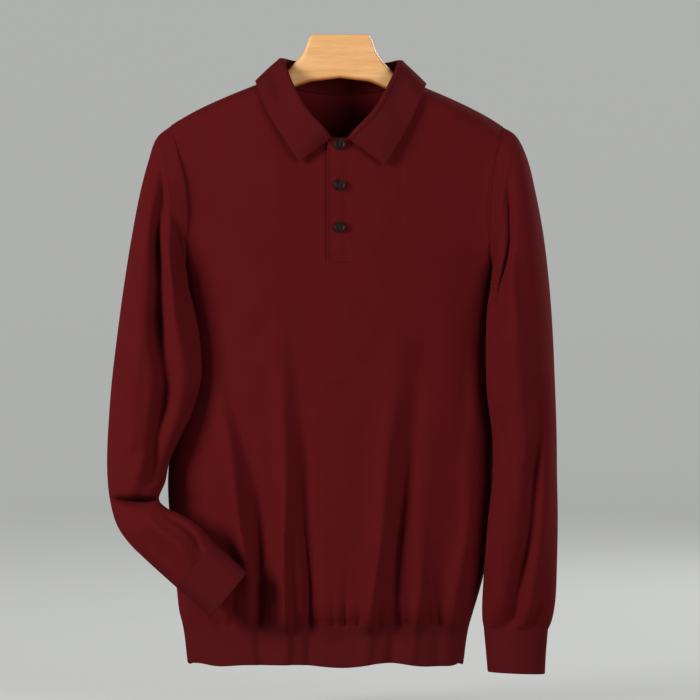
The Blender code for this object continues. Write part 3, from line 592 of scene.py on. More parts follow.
def underarm_part(part):
    """Which part of a side's length the underarm lies at."""
    top = top_line(FRONT, np.sign(part))
    return (UNDERARM_DROP - top) / (HEM_SEAM_DROP - top)


def panel(side, parts, downs):
    """A panel as a grid of points: columns hang from the shoulder seam or the neckline to the
    hem, and at the top they roll over the hanger along a quarter circle."""
    part = np.asarray(parts)[None, :]
    down = np.asarray(downs)[:, None]
    top = top_line(side, part)
    drop = top + (hem_line(part) - SEAM_GAP - top) * down
    turn = np.clip(down / underarm_part(np.where(part < 0, -1.0, 1.0)), 0, 1)
    reach = body_reach(side, part, drop, ARMHOLE[side] * half_circle(turn))
    top_reach = neck_reach(side, part)
    roll = quarter_circle((drop - top) / SHOULDER_ROLL)
    y = SEAM_GAP / 2 + top_reach + (reach - top_reach) * roll
    way = -1 if side == FRONT else 1
    points = np.stack(np.broadcast_arrays(body_x(part, drop), way * y, -drop), axis=-1)
    normals = facing(points, False, (0, way, 0))
    normals[0, np.abs(parts) >= NECK_PART - 1e-6, 1] = 0
    below_arm = np.asarray(downs) >= underarm_part(1.0) - 1e-6
    for seam_column in (0, -1):
        normals[below_arm, seam_column, 1] = 0
    return points, unit(normals)


# %% The two panels
ARMHOLE_ANGLES = np.arange(0, 181, 3)
ARMHOLE_DOWNS = underarm_part(1.0) * (1 - np.cos(np.radians(ARMHOLE_ANGLES))) / 2
DOWNS = np.concatenate([ARMHOLE_DOWNS, np.linspace(underarm_part(1.0), 1, 172)[1:]])
SLIT_SHORTER = 0.004                         # the bands' end covers the end of the slit


def panel_parts(shoulder_columns, neck_columns, slot_columns=12):
    """Columns of a panel: shoulder, neck, shoulder, much closer together at the side seams."""
    steps = np.linspace(0, 1, shoulder_columns + 1)[:-1]
    shoulder = -1 + (1 - NECK_PART) * (0.35 * steps + 0.65 * steps**1.6)
    slot = math.asin(SLOT_PART / NECK_PART)
    half = np.linspace(slot, math.pi / 2, neck_columns)
    middle = np.linspace(-SLOT_PART, SLOT_PART, slot_columns + 1)[1:-1]
    neck = NECK_PART * np.sin(half)
    return np.concatenate([shoulder, -neck[::-1], middle, neck, -shoulder[::-1]])


front_parts = panel_parts(57, 32)
points, normals = panel(FRONT, front_parts, DOWNS)
between = (front_parts[:-1] + front_parts[1:]) / 2
cell_drop = -points[1:, len(front_parts) // 2, 2]
in_slit = cell_drop[:, None] < PLACKET_DROP - SLIT_SHORTER
front = cloth_wall("jersey_front", "front_panel", points, normals, WALL, jersey,
                   keep=~(in_slit & (np.abs(between) < SLOT_PART)))
points, normals = panel(BACK, panel_parts(52, 30), DOWNS)
back = cloth_wall("jersey_back", "back_panel", points, normals, WALL, jersey)

# %% [markdown]
# ## The hem band
# The welt is knitted in one with the body, in a springy rib that draws the cloth in. It is a
# closed ring that follows the body's cross-section, so the folds run on into it and grow weaker.
# Its lower edge is rounded by letting the wall thin out over the last millimetre.

# %% Hem band
HEM_OVERLAP, HEM_FIRST_WALL = 0.0012, 0.88   # the rib starts under the jersey, a little thinner
HEM_DRAWN_IN = 0.025                         # metres drawn in for each metre down
HEM_ROUND = 0.0012                           # radius of its lower edge
HEM_COLUMNS = 420


def hem_ring(drop, turn):
    """The body's cross-section at one drop, as a ring of points drawn in a little."""
    part = -np.cos(turn)
    part = np.sign(part) * (0.6 * np.abs(part) + 0.4 * (1 - (1 - np.abs(part))**1.5))
    tuck = HEM_DRAWN_IN * (drop - HEM_SEAM_DROP) * fullness(part)
    drop_here = drop + hem_line(part) - HEM_SEAM_DROP
    y = np.where(turn <= math.pi, -(body_reach(FRONT, part, drop_here) - tuck),
                 body_reach(BACK, part, drop_here) - tuck)
    y = np.where(np.abs(part) > 0.9999, 0.0, y)
    return np.stack([body_x(part, drop_here), y, -drop_here], axis=-1)


def edge_rows(first, last, count, rounding):
    """Rows from first to last with a few more close to the end, and each row's thickness as a
    part of the whole: a quarter circle of the rounding's radius at the end."""
    bend = np.linspace(0, math.pi / 2, 6)[1:]
    rows = np.concatenate([np.linspace(first, last - rounding, count),
                           last - rounding * (1 - np.sin(bend))])
    thick = np.concatenate([np.ones(count), np.maximum(np.cos(bend), 0.12)])
    return rows, thick


turn = full_turn(HEM_COLUMNS)
drops, thick = edge_rows(HEM_SEAM_DROP - HEM_OVERLAP, HEM_DROP, 24, HEM_ROUND)
thick[0] = HEM_FIRST_WALL
rings = np.stack([hem_ring(drop, turn) for drop in drops])
uneven = 0.0011 * np.sin(7 * turn) + 0.0007 * np.sin(13 * turn + 1)
rings[:, :, 2] += uneven * smooth_step((drops[:, None] - 0.715) / 0.03)
normals = facing(rings, True, unit(rings - rings.mean(axis=(0, 1))))
hem = cloth_wall("rib_hem", "hem_band", rings, normals, RIB_WALL * thick[:, None], rib, True)

# %% [markdown]
# ## The sleeves
# Each sleeve is a knitted tube, sewn into the armhole. The right one hangs straight. The left one
# is bent at the elbow, with its forearm laid over the front. A tube is a stack of rings: the first
# is the armhole itself, the others are flat ovals given by their outer and inner sides. Creases
# are pressed in afterwards as soft troughs and ridges, and the elbow gets a sharp one.

# %% Sizes of the sleeves
#   outer x, drop, inner x, drop, outer y, inner y, half depth
RIGHT_SLEEVE = tenths(
    (2085, 1220, 1785, 2890, -10, -20, 370),
    (2215, 1500, 1777, 2925, -30, -50, 390),
    (2310, 1900, 1780, 3010, -40, -110, 410),
    (2400, 2400, 1755, 3160, -60, -180, 420),
    (2468, 3000, 1733, 3420, -80, -250, 415),
    (2507, 3560, 1727, 3850, -90, -280, 400),
    (2530, 4100, 1742, 4280, -100, -280, 385),
    (2550, 4680, 1805, 4760, -100, -240, 370),
    (2556, 5200, 1812, 5220, -100, -240, 355),
    (2565, 5730, 1755, 5720, -100, -250, 345),
    (2556, 6260, 1715, 6240, -100, -210, 325),
    (2540, 6670, 1690, 6660, -90, -160, 295),
    (2500, 6920, 1690, 6900, -80, -110, 245),
    (2448, 7050, 1711, 7030, -80, -90, 195),
)
RIGHT_CUFF = tenths(
    (2449, 7040, 1710, 7020, -80, -90, 196),
    (2425, 7320, 1735, 7295, -80, -90, 180),
    (2412, 7572, 1757, 7545, -80, -90, 175),
)
LEFT_SLEEVE = tenths(
    (-2165, 1235, -1795, 2895, -10, -20, 370),
    (-2263, 1512, -1795, 2925, -30, -80, 390),
    (-2362, 1900, -1790, 3010, -50, -150, 405),
    (-2456, 2403, -1755, 3150, -80, -230, 405),
    (-2550, 3001, -1700, 3380, -100, -285, 395),
    (-2632, 3623, -1652, 3680, -120, -325, 380),
    (-2692, 4150, -1640, 4060, -140, -345, 370),
    (-2726, 4619, -1750, 4467, -160, -340, 355),
    (-2740, 4971, -1905, 4795, -190, -350, 340),
    (-2732, 5264, -2015, 5053, -230, -330, 330),
    (-2697, 5522, -2065, 5288, -290, -370, 310),
    (-2614, 5792, -2134, 5487, -380, -460, 290),
    (-2462, 6003, -2030, 5600, -480, -570, 270),
    (-2263, 6190, -1850, 5680, -570, -640, 250),
    (-2075, 6355, -1655, 5800, -640, -690, 225),
    (-1899, 6507, -1477, 5991, -690, -715, 195),
)
LEFT_CUFF = tenths(
    (-1905, 6502, -1483, 5986, -690, -715, 196),
    (-1700, 6690, -1275, 6175, -705, -725, 180),
    (-1510, 6860, -1088, 6346, -715, -730, 172),
)
# Creases: section where each starts and ends, how far from the outer side it lies there
# (0 outer, 1 inner), half width towards the outer and the inner side, height, front or back
RIGHT_CREASES = (
    (0.2, 8.0, 0.66, 0.50, 0.10, 0.16, 0.0060, 1),
    (-0.2, 4.8, 0.38, 1.00, 0.11, 0.09, -0.0120, 1),
    (5.8, 13.0, 0.26, 0.66, 0.12, 0.10, -0.0140, 1),
    (7.2, 13.0, 0.12, 0.48, 0.10, 0.12, 0.0045, 1),
    (8.0, 13.0, 0.78, 0.86, 0.10, 0.08, 0.0030, 1),
    (5.6, 8.6, 0.95, 0.72, 0.06, 0.06, -0.0035, 1),
    (10.6, 13.0, 0.22, 0.28, 0.07, 0.05, -0.0040, 1),
    (2.0, 9.0, 0.45, 0.40, 0.16, 0.12, -0.0090, -1),
    (6.0, 13.0, 0.70, 0.60, 0.10, 0.14, 0.0060, -1),
    (1.0, 7.0, 0.80, 0.86, 0.10, 0.06, 0.0045, -1),
    (8.5, 13.0, 0.30, 0.36, 0.08, 0.10, -0.0055, -1),
)
LEFT_CREASES = (
    (0.0, 10.0, 0.29, 0.78, 0.09, 0.15, -0.0230, 1),
    (0.2, 7.4, 0.56, 0.84, 0.08, 0.08, 0.0050, 1),
    (-0.3, 5.6, 0.74, 0.94, 0.09, 0.08, -0.0080, 1),
    (0.8, 9.6, 0.16, 0.34, 0.14, 0.10, 0.0070, 1),
    (8.2, 10.5, 0.56, 0.36, 0.16, 0.18, 0.0070, 1),
    (2.0, 9.0, 0.45, 0.50, 0.16, 0.12, -0.0085, -1),
    (4.0, 10.5, 0.18, 0.24, 0.10, 0.10, 0.0040, -1),
    (11.4, 15.0, 0.66, 0.52, 0.12, 0.10, 0.0060, 1),
    (12.2, 15.0, 0.90, 0.78, 0.06, 0.05, -0.0085, 1),
    (12.0, 15.0, 0.28, 0.24, 0.12, 0.12, -0.0025, 1),
)
ELBOW_CREASE = (10.45, 1.17, 0.20, 0.62, 0.0330)     # section, lean, half length, middle, depth
SLEEVE_CLEARANCE = 0.0034
ARMHOLE_GAP = 0.0006
UNDERARM_LIFT = 0.0007
sleeve_angle = np.radians(np.concatenate([ARMHOLE_ANGLES, 360 - ARMHOLE_ANGLES[-2:0:-1]]))
inward = (1 - np.cos(sleeve_angle)) / 2        # 0 on the outer side, 1 next to the body


# %% Shape of the sleeves
def armhole(end):
    """The armhole's points and normals round one side, read from the two panels' edges."""
    downs = np.append(ARMHOLE_DOWNS, 0.36)
    side, last = (0 if end < 0 else -1), len(ARMHOLE_DOWNS)
    front, back = panel(FRONT, SIDE_PARTS, downs), panel(BACK, SIDE_PARTS, downs)
    points, normals = [np.concatenate([ahead[:last, side], behind[last - 2:0:-1, side]])
                       for ahead, behind in zip(front, back)]
    points[[0, last - 1], 1] = 0
    along = np.roll(points, -1, axis=0) - np.roll(points, 1, axis=0)
    away = unit(np.cross(along, normals))
    away = -away if np.sum(away[:, 0]) * end < 0 else away
    points = points + ARMHOLE_GAP * away
    points[:, 2] += UNDERARM_LIFT * inward**6
    return points, normals


def sections(table, places):
    """Rings at places along a table of sections: ovals between the outer and the inner side."""
    outer_x, outer_drop, inner_x, inner_drop, outer_y, inner_y, half = curve(
        np.arange(len(table)), table, np.asarray(places, float)).T[..., None]
    x = outer_x + (inner_x - outer_x) * inward
    drop = outer_drop + (inner_drop - outer_drop) * inward
    y = outer_y + (inner_y - outer_y) * inward - half * np.sin(sleeve_angle)
    return np.stack([x, y, -drop], axis=-1)


def creased(rings, places, table):
    """Moves the rings' points forward or back along each crease: a bell across it, and a half
    sine along it that makes its ends run out."""
    places = places[:, None]
    moved = rings.copy()
    for number, (start, end, first, last, outer, inner, height, way) in enumerate(table):
        run = np.clip((places - start) / (end - start), 0, 1)
        strength = np.sin(math.pi * run)**0.7 * (1 + 0.12 * np.sin(3.1 * places + number))
        away = inward - (first + (last - first) * run) - 0.015 * np.sin(2.3 * places + number)
        bell = np.exp(-(away / np.where(away < 0, outer, inner))**2)
        faces_it = np.clip(way * np.sin(sleeve_angle), 0, 1)
        moved[..., 1] -= way * height * strength * bell * faces_it
    return moved


def clear_of_body(points, room=SLEEVE_CLEARANCE):
    """Moves points that would touch the body's front forward, until they have room."""
    x, y, drop = points[..., 0], points[..., 1], -points[..., 2]
    part = body_part(x, drop) / (1 + room / column(OUTLINE, RIGHT, drop))
    reach = body_reach(FRONT, np.clip(part, -1, 1), drop) + room
    inside = (np.abs(part) < 1) & (y > -reach) & (drop > UNDERARM_DROP)
    moved = points.copy()
    moved[..., 1] = np.where(inside, -reach, y)
    return moved


def sleeve(side, table, creases, end, rows):
    """The whole tube: armhole ring and sections joined by smooth lines, then creased."""
    first, first_normals = armhole(end)
    knots = np.arange(-1, len(table))
    all_rings = np.concatenate([first[None], sections(table, knots[1:])])
    places = np.concatenate([np.linspace(-1, 1, rows // 10, endpoint=False),
                             np.linspace(1, knots[-1], rows - rows // 10)])
    rings = creased(curve(knots, all_rings, places), places, creases)
    if end < 0:
        at, lean, length, middle, depth = ELBOW_CREASE
        at = at + lean * (inward - 0.5)
        across = np.clip(1 - ((inward - middle) / 0.75)**2, 0, 1)
        near = np.exp(-(np.abs(places[:, None] - at) / length)**1.5)
        rings[..., 1] += depth * near * across * np.clip(np.sin(sleeve_angle), 0, 1)
    rings = clear_of_body(rings)
    rings[0] = first
    normals = outwards(rings)
    normals[0] = first_normals
    return cloth_wall("jersey_sleeve_" + side, "sleeve_" + side, rings, normals, WALL, jersey, True)


sleeve_right = sleeve("right", RIGHT_SLEEVE, RIGHT_CREASES, 1, 220)
sleeve_left = sleeve("left", LEFT_SLEEVE, LEFT_CREASES, -1, 260)


# %% Cuffs
def cuff(side, table, end):
    """A short ribbed tube on the sleeve's end, with a rounded mouth."""
    places, thick = edge_rows(0.0, 2.0, 22, 0.045)
    rings = sections(table, places)
    if end < 0:
        rings = clear_of_body(rings)
    return cloth_wall("rib_cuff_" + side, "cuff_" + side, rings, outwards(rings),
                      RIB_WALL * thick[:, None], rib, True)


cuff_right = cuff("right", RIGHT_CUFF, 1)
cuff_left = cuff("left", LEFT_CUFF, -1)

# %% [markdown]
# ## Seams
# Knitted pieces are linked loop by loop, which leaves a fine raised line of stitches. Each seam is
# a thin tube along its line, and its radius swells once a stitch.

# %% Linked seams
def along_path(path, step, closed=False):
    """The same line with points an even step apart."""
    path = np.concatenate([path, path[:1]]) if closed else path
    length = np.concatenate([[0], np.cumsum(np.linalg.norm(np.diff(path, axis=0), axis=1))])
    count = int(length[-1] / step) + 2
    at = np.linspace(0, length[-1], count)[:-1 if closed else None]
    return np.stack([np.interp(at, length, path[:, k]) for k in range(3)], axis=1), at


def outward(piece):
    """Turns a closed mesh's faces out, if its signed volume says that they face in."""
    mesh = piece.data
    mesh.calc_loop_triangles()
    corner = np.zeros(len(mesh.vertices) * 3)
    mesh.vertices.foreach_get("co", corner)
    triangle = np.zeros(len(mesh.loop_triangles) * 3, np.int32)
    mesh.loop_triangles.foreach_get("vertices", triangle)
    a, b, c = corner.reshape(-1, 3)[triangle.reshape(-1, 3)].transpose(1, 0, 2)
    if np.sum(a * np.cross(b, c)) < 0:
        mesh.flip_normals()
    return piece


def tube(name, path, radius, material, stitch=None, sides=8, closed=False, step=None):
    """A tube round a path. Radius = radius x (1 + swell x sine of the length over one stitch);
    at an open path's ends it closes over a half round."""
    points, at = along_path(path, step or stitch / 6, closed)
    if closed:
        ahead = unit(np.roll(points, -1, axis=0) - np.roll(points, 1, axis=0))
    else:
        ahead = unit(np.gradient(points, axis=0))
    helper = np.where(np.abs(ahead[:, 1:2]) < 0.8, [[0.0, 1.0, 0.0]], [[1.0, 0.0, 0.0]])
    side = unit(np.cross(ahead, helper))
    other = np.cross(ahead, side)
    grown = np.full(len(points), radius)
    if stitch:
        grown = grown * (1 + STITCH_SWELL * np.sin(2 * math.pi * at / stitch))
    if not closed:
        grown = grown * quarter_circle(np.minimum(at, at[-1] - at) / radius, 0.02)
    turn = full_turn(sides)[:, None]
    rings = points[:, None] + grown[:, None, None] * (
        side[:, None] * np.cos(turn) + other[:, None] * np.sin(turn))
    if closed:
        rings = np.concatenate([rings, rings[:1]])
    rows = len(rings)
    flat = cloth_map(rings, True).reshape(-1, 2)[grid_faces(rows, sides + 1).ravel()]
    if closed:
        rings = rings[:-1]
        faces = (grid_faces(rows, sides, True) % ((rows - 1) * sides)).tolist()
    else:
        faces = capped(rows, sides)
        flat = np.concatenate([flat, np.zeros((2 * sides, 2))])
    made = mesh_object(name, rings.reshape(-1, 3), faces, material, flat, sharp=0)
    return stands_for(outward(made))


STITCH, STITCH_SWELL = 0.0026, 0.22
ARMHOLE_SEAM, SHOULDER_SEAM, SIDE_SEAM = 0.0011, 0.0010, 0.0007      # radii
SEAM_STANDS_OUT = 0.0006
part = np.linspace(NECK_PART + 0.01, 0.995, 40)
down = np.linspace(underarm_part(1.0) + 0.004, 0.999, 60)
armhole_seams, body_seams = {}, []
for name, end in (("left", -1), ("right", 1)):
    ring, out = armhole(end)
    armhole_seams[name] = [tube(f"armhole_seam_{name}", ring + SEAM_STANDS_OUT * out,
                                ARMHOLE_SEAM, seam, STITCH, closed=True)]
for name, end in (("left", -1), ("right", 1)):
    top = top_line(FRONT, end * part)
    line = np.stack([body_x(end * part, top), 0 * part, -top + 0.0007], axis=1)
    edge = panel(FRONT, SIDE_PARTS, down)[0][:, 0 if end < 0 else -1]
    edge[:, 0] += end * SEAM_STANDS_OUT
    edge[:, 1] = 0
    body_seams += [tube(f"shoulder_seam_{name}", line, SHOULDER_SEAM, seam, STITCH),
                   tube(f"side_seam_{name}", edge, SIDE_SEAM, seam, STITCH)]
print("seams:", len(armhole_seams), "on the sleeves,", len(body_seams), "on the body")

# %% [markdown]
# ## The collar
# The collar is one ribbed strip: a low stand that rises inside the neckline, a soft roll, and a
# leaf that falls over the shoulders to two points. Seen in section it is a hairpin, so it is built
# as rows that run round the neck: up the stand, half a circle over the roll, down the leaf. The
# two sides differ a little, because the real collar doesn't lie evenly.

# %% Sizes of the collar
#   angle, the roll's x, y and drop, the leaf edge's x, y and drop
COLLAR_LEFT = tenths(
    (7, 92, -505, 1250, 475, -530, 1548),
    (25, 200, -540, 1120, 570, -530, 1405),
    (45, 395, -500, 905, 705, -480, 1195),
    (65, 540, -360, 645, 870, -360, 920),
    (82, 640, -140, 380, 980, -190, 640),
    (98, 660, 80, 310, 998, 80, 570),
    (122, 530, 270, 310, 850, 390, 760),
    (150, 280, 360, 325, 480, 490, 880),
    (180, 0, 390, 330, 0, 510, 920),
    first=1)
COLLAR_RIGHT = tenths(
    (7, 84, -505, 1255, 522, -530, 1575),
    (25, 180, -540, 1135, 605, -530, 1450),
    (45, 390, -500, 910, 742, -480, 1215),
    (65, 548, -360, 635, 888, -360, 925),
    (82, 665, -140, 370, 998, -190, 640),
    (98, 680, 80, 305, 1012, 80, 580),
    (122, 540, 270, 310, 850, 390, 760),
    (150, 280, 360, 325, 480, 490, 880),
    (180, 0, 390, 330, 0, 510, 920),
    first=1)
COLLAR_ROLL = 0.0030
SIDE_ROOM = 0.0009
LEAF_CLEARANCE = 0.0065
LIFT_PASSES = 14
BULGE, BULGE_FLAT_AT, BULGE_FLAT_OVER = 0.0028, 86, 26         # metres, degrees, degrees
FREE_ROWS = 4                                # rows of the roll that may be lifted too
COLLAR_ENDS = (0.25, 0.72, 0.94)             # how thin the strip's first columns are


# %% Shape of the collar
def neck_loop():
    """The neckline's points, normals, directions up into the neck and angles, from the
    placket's left round the back to its right."""
    slot = math.asin(SLOT_PART / NECK_PART)
    near = slot + np.array([0, 0.004, 0.012, 0.025])
    half = np.concatenate([near, np.linspace(0.22, math.pi / 2, 34)])
    angles = {FRONT: np.concatenate([-half[::-1], half]),
              BACK: np.linspace(-1, 1, 73) * math.pi / 2}
    seam, normals = {}, {}
    for side in (FRONT, BACK):
        points, facings = panel(side, NECK_PART * np.sin(angles[side]), (0.0, 0.004, 0.010))
        seam[side], normals[side] = points[0], facings[0]
    count = len(half)
    left, right = slice(count - 1, None, -1), slice(2 * count - 1, count - 1, -1)

    def joined(values):
        return np.concatenate([values[FRONT][left], values[BACK][1:-1], values[FRONT][right]])

    line, facings = joined(seam), joined(normals)
    round_neck = {FRONT: np.abs(angles[FRONT]), BACK: math.pi - np.abs(angles[BACK])}
    up = unit(np.cross(np.gradient(line, axis=0), facings))
    up = up * np.sign(np.sum(up * -line, axis=-1, keepdims=True))
    return line, facings, up, np.degrees(joined(round_neck)), np.sign(line[:, 0])


def lifted_off(points, room):
    """Moves points of the leaf away from the body until they have room over it."""
    x, y, drop = points[..., 0], points[..., 1], -points[..., 2]
    part = body_part(x, drop)
    moved = points.copy()
    for side, way in ((FRONT, -1), (BACK, 1)):
        top = top_line(side, part)
        top_reach = neck_reach(side, part)
        reach = body_reach(side, part, drop) + room
        roll = quarter_circle((drop - top + room) / (SHOULDER_ROLL + room))
        reach = top_reach + (reach - top_reach) * roll
        touching = (way * y > 0) & (drop > top - room) & (way * y < reach)
        moved[..., 1] = np.where(touching, way * reach, moved[..., 1])
    return moved


line, facings, into_neck, angles, sign = neck_loop()
level = np.abs(facings[:, 2:])
side_room = SIDE_ROOM * np.sin(np.radians(angles))[:, None]
foot = line + (1.4 * SEAM_GAP + side_room + 0.55 * RIB_WALL * level) * into_neck
tilt = SHOULDER_TILT * line[:, 0]


def from_table(first):
    """A line round the neck from three columns of the two sides' tables."""
    left, right = [[column(table, first + k, angles) for k in range(3)]
                   for table in (COLLAR_LEFT, COLLAR_RIGHT)]
    x, y, drop = np.where(sign < 0, left, right)
    return np.stack([sign * x, y, -drop - tilt], axis=-1)


roll_line, leaf_edge = from_table(1), from_table(4)
rise = unit(roll_line - foot)
fall = leaf_edge - roll_line
out = unit(fall - rise * np.sum(fall * rise, axis=-1, keepdims=True))
stand_top = roll_line - COLLAR_ROLL * rise
hub = stand_top + COLLAR_ROLL * out
rows = [foot + (stand_top - foot) * run for run in np.linspace(0, 0.94, 10)]
rows += [hub + COLLAR_ROLL * (math.sin(a) * rise - math.cos(a) * out)
         for a in np.linspace(0, math.pi, 13)]
stand_rows = len(rows)
runs, thick = edge_rows(0.03, 1.0, 26, 0.022)
leaf_top = rows[-1]
for run in runs:
    bulge = BULGE * math.sin(math.pi * run) * (1 + 0.35 * np.sin(0.11 * angles * sign + 0.8))
    bulge = bulge * (1 - 0.9 * np.exp(-((angles - BULGE_FLAT_AT) / BULGE_FLAT_OVER)**2))
    rows.append(leaf_top + (leaf_edge - leaf_top) * run + bulge[:, None] * out)
grid = np.stack(rows)
lift = (lifted_off(grid, LEAF_CLEARANCE) - grid)[..., 1]
lift[:stand_rows - FREE_ROWS] = 0
for _ in range(LIFT_PASSES):                   # a lift spread to its neighbours leaves no dimple
    for axis in (0, 1):
        spread = np.pad(lift, [(1, 1), (0, 0)] if axis == 0 else [(0, 0), (1, 1)], mode="edge")
        before, after = np.delete(spread, (-2, -1), axis), np.delete(spread, (0, 1), axis)
        lift = (before + 2 * lift + after) / 4
    lift[:stand_rows - FREE_ROWS] = 0
grid[..., 1] += lift
thickness = RIB_WALL * np.concatenate([np.ones(stand_rows), thick])[:, None] * np.ones(len(angles))
for number, share in enumerate(COLLAR_ENDS):
    thickness[:, [number, -1 - number]] *= share
towards = np.zeros_like(grid)
towards[stand_rows:] = out
normals = facing(grid, False, towards)
normals[0] = unit(normals[0] * level - facings * (1 - level))
collar = cloth_wall("rib_collar", "collar", grid, normals, thickness, rib)

# %% [markdown]
# ## Placket and buttons
# Two ribbed bands close the slit in the front, one over the other. The top band's left edge is a
# folded welt that catches the light. Towards the right and the lower end the band thins out and
# sinks into the jersey, where the real one hardly shows. A row of stitches holds its lower end.

# %% Placket
PLACKET_LEFT, PLACKET_RIGHT = -0.0152, 0.0129
PLACKET_TOP_DROP, COLLAR_FOOT_DROP = 0.1250, 0.1290
TONGUE_HALF = 0.0118                         # half width of the part between the collar's ends
UNDER_BAND_HALF = 0.0135
BAND_LIFT = (WALL + RIB_WALL) / 2 + SEAM_GAP
WELT, WELT_HEIGHT = 0.0012, 0.0014
THINS_OVER, ENDS_OVER, SINKS = 0.020, 0.014, 0.0014            # to the right, below, how deep
STITCHES, STITCH_PITCH, STITCH_LENGTH = 11, 0.0024, 0.0018


def front_place(x, drop, lift):
    """Points that follow the front panel, lifted off its middle surface along Y."""
    part = body_part(x, drop)
    roll = quarter_circle((drop - top_line(FRONT, part)) / SHOULDER_ROLL)
    reach = NECK_REACH[FRONT] + (body_reach(FRONT, part, drop) - NECK_REACH[FRONT]) * roll
    return np.stack(np.broadcast_arrays(x, -(reach + lift), -drop), axis=-1)


width = PLACKET_RIGHT - PLACKET_LEFT
across = np.concatenate([[0, 0.0004, 0.0010], np.linspace(0.0018, width - 0.0060, 10),
                         width - np.linspace(0.0050, 0, 8)])
taper = smooth_step((width - across) / THINS_OVER)
side_thick = 0.12 + 0.88 * taper
side_thick[:2] = 0.2, 0.75
drop, end_thick = edge_rows(COLLAR_FOOT_DROP, PLACKET_DROP, 70, 0.0010)
x = PLACKET_LEFT + across[None, :]
narrow = np.linspace(-TONGUE_HALF, TONGUE_HALF, len(across))[None, :]
tongue = np.linspace(PLACKET_TOP_DROP, COLLAR_FOOT_DROP - 0.0006, 5)
x = np.concatenate([np.repeat(narrow, len(tongue), axis=0), np.repeat(x, len(drop), axis=0)])
drop = np.concatenate([tongue, drop])[:, None]
end_thick = np.concatenate([np.ones(len(tongue)), end_thick])[:, None]
on_band = drop > COLLAR_FOOT_DROP
welt = WELT_HEIGHT * np.exp(-((x - PLACKET_LEFT - WELT) / WELT)**2) * on_band
ending = smooth_step((PLACKET_DROP - drop) / ENDS_OVER)
end_thick = end_thick * (0.25 + 0.75 * ending)
sunk = SINKS * (1 - taper * ending) * on_band
grid = front_place(x, drop, BAND_LIFT + welt * ending - sunk)
band = cloth_wall("rib_placket_top", "placket_top", grid, facing(grid, False, (0, -1, 0)),
                  RIB_WALL * end_thick * side_thick, band_knit)
x = np.linspace(-UNDER_BAND_HALF, UNDER_BAND_HALF, 15)[None, :]
drop = np.linspace(PLACKET_TOP_DROP + 0.010, PLACKET_DROP, 60)[:, None]
grid = front_place(x, drop, -BAND_LIFT)
under = cloth_wall("rib_placket_under", "placket_under", grid, facing(grid, False, (0, -1, 0)),
                   RIB_WALL, rib)
arch = 0.00035 * np.sin(np.linspace(0, math.pi, 7))
stitches = []
for number in range(STITCHES):
    start = PLACKET_LEFT + 0.0010 + STITCH_PITCH * number
    path = front_place(np.linspace(start, start + STITCH_LENGTH, 7),
                       np.full(7, PLACKET_DROP - 0.0022), BAND_LIFT - 0.0009 + arch)
    stitches.append(tube(f"placket_stitch_{number + 1}", path, 0.00030, seam, sides=6,
                         step=0.0003))
print("placket bands and", len(stitches), "stitches")

# %% [markdown]
# ### Buttons
# The buttons are small turned discs of dark horn look, with a rounded rim, a dished face and four
# holes. A disc is a profile carried round an axis; the holes are deep round pits pressed into the
# grid, and two bars of thread bridge them.

# %% Button material
horn, add, show = new_material("dark_horn", {"Roughness": 0.38, "Specular IOR Level": 0.10})
where = add("ShaderNodeTexCoord").outputs["Object"]
smoke = noise(add, where, 1.0, 4.0, stretch=(260.0, 40.0, 120.0))
show(ramp(add, smoke, (0.38, (0.004, 0.003, 0.002)), (0.75, (0.020, 0.012, 0.006))), "Base Color")
thread, add, show = new_material("dark_thread", {"Roughness": 0.8})
twist = noise(add, add("ShaderNodeTexCoord").outputs["Object"], 4000.0, 1.0)
show(ramp(add, twist, (0.0, (0.020, 0.003, 0.004)), (1.0, (0.055, 0.008, 0.010))), "Base Color")

# %% Buttons
BUTTON_DROPS, BUTTON_TURNS = (0.1325, 0.1806, 0.2298), (0.25, -0.5, 0.1)
BUTTON_RADIUS, BUTTON_THICKNESS, BUTTON_SHANK = 0.0066, 0.0026, 0.0005
BUTTON_SIDES = 72
HOLE_AWAY, HOLE_RADIUS, HOLE_DEPTH = 0.0012, 0.00062, 0.55      # depth as a part of the disc's
THREAD_RADIUS, THREAD_ARCH = 0.00038, 0.0006
FACE_FROM, FACE_RINGS = 21, 44               # where the dished face starts, its close rings


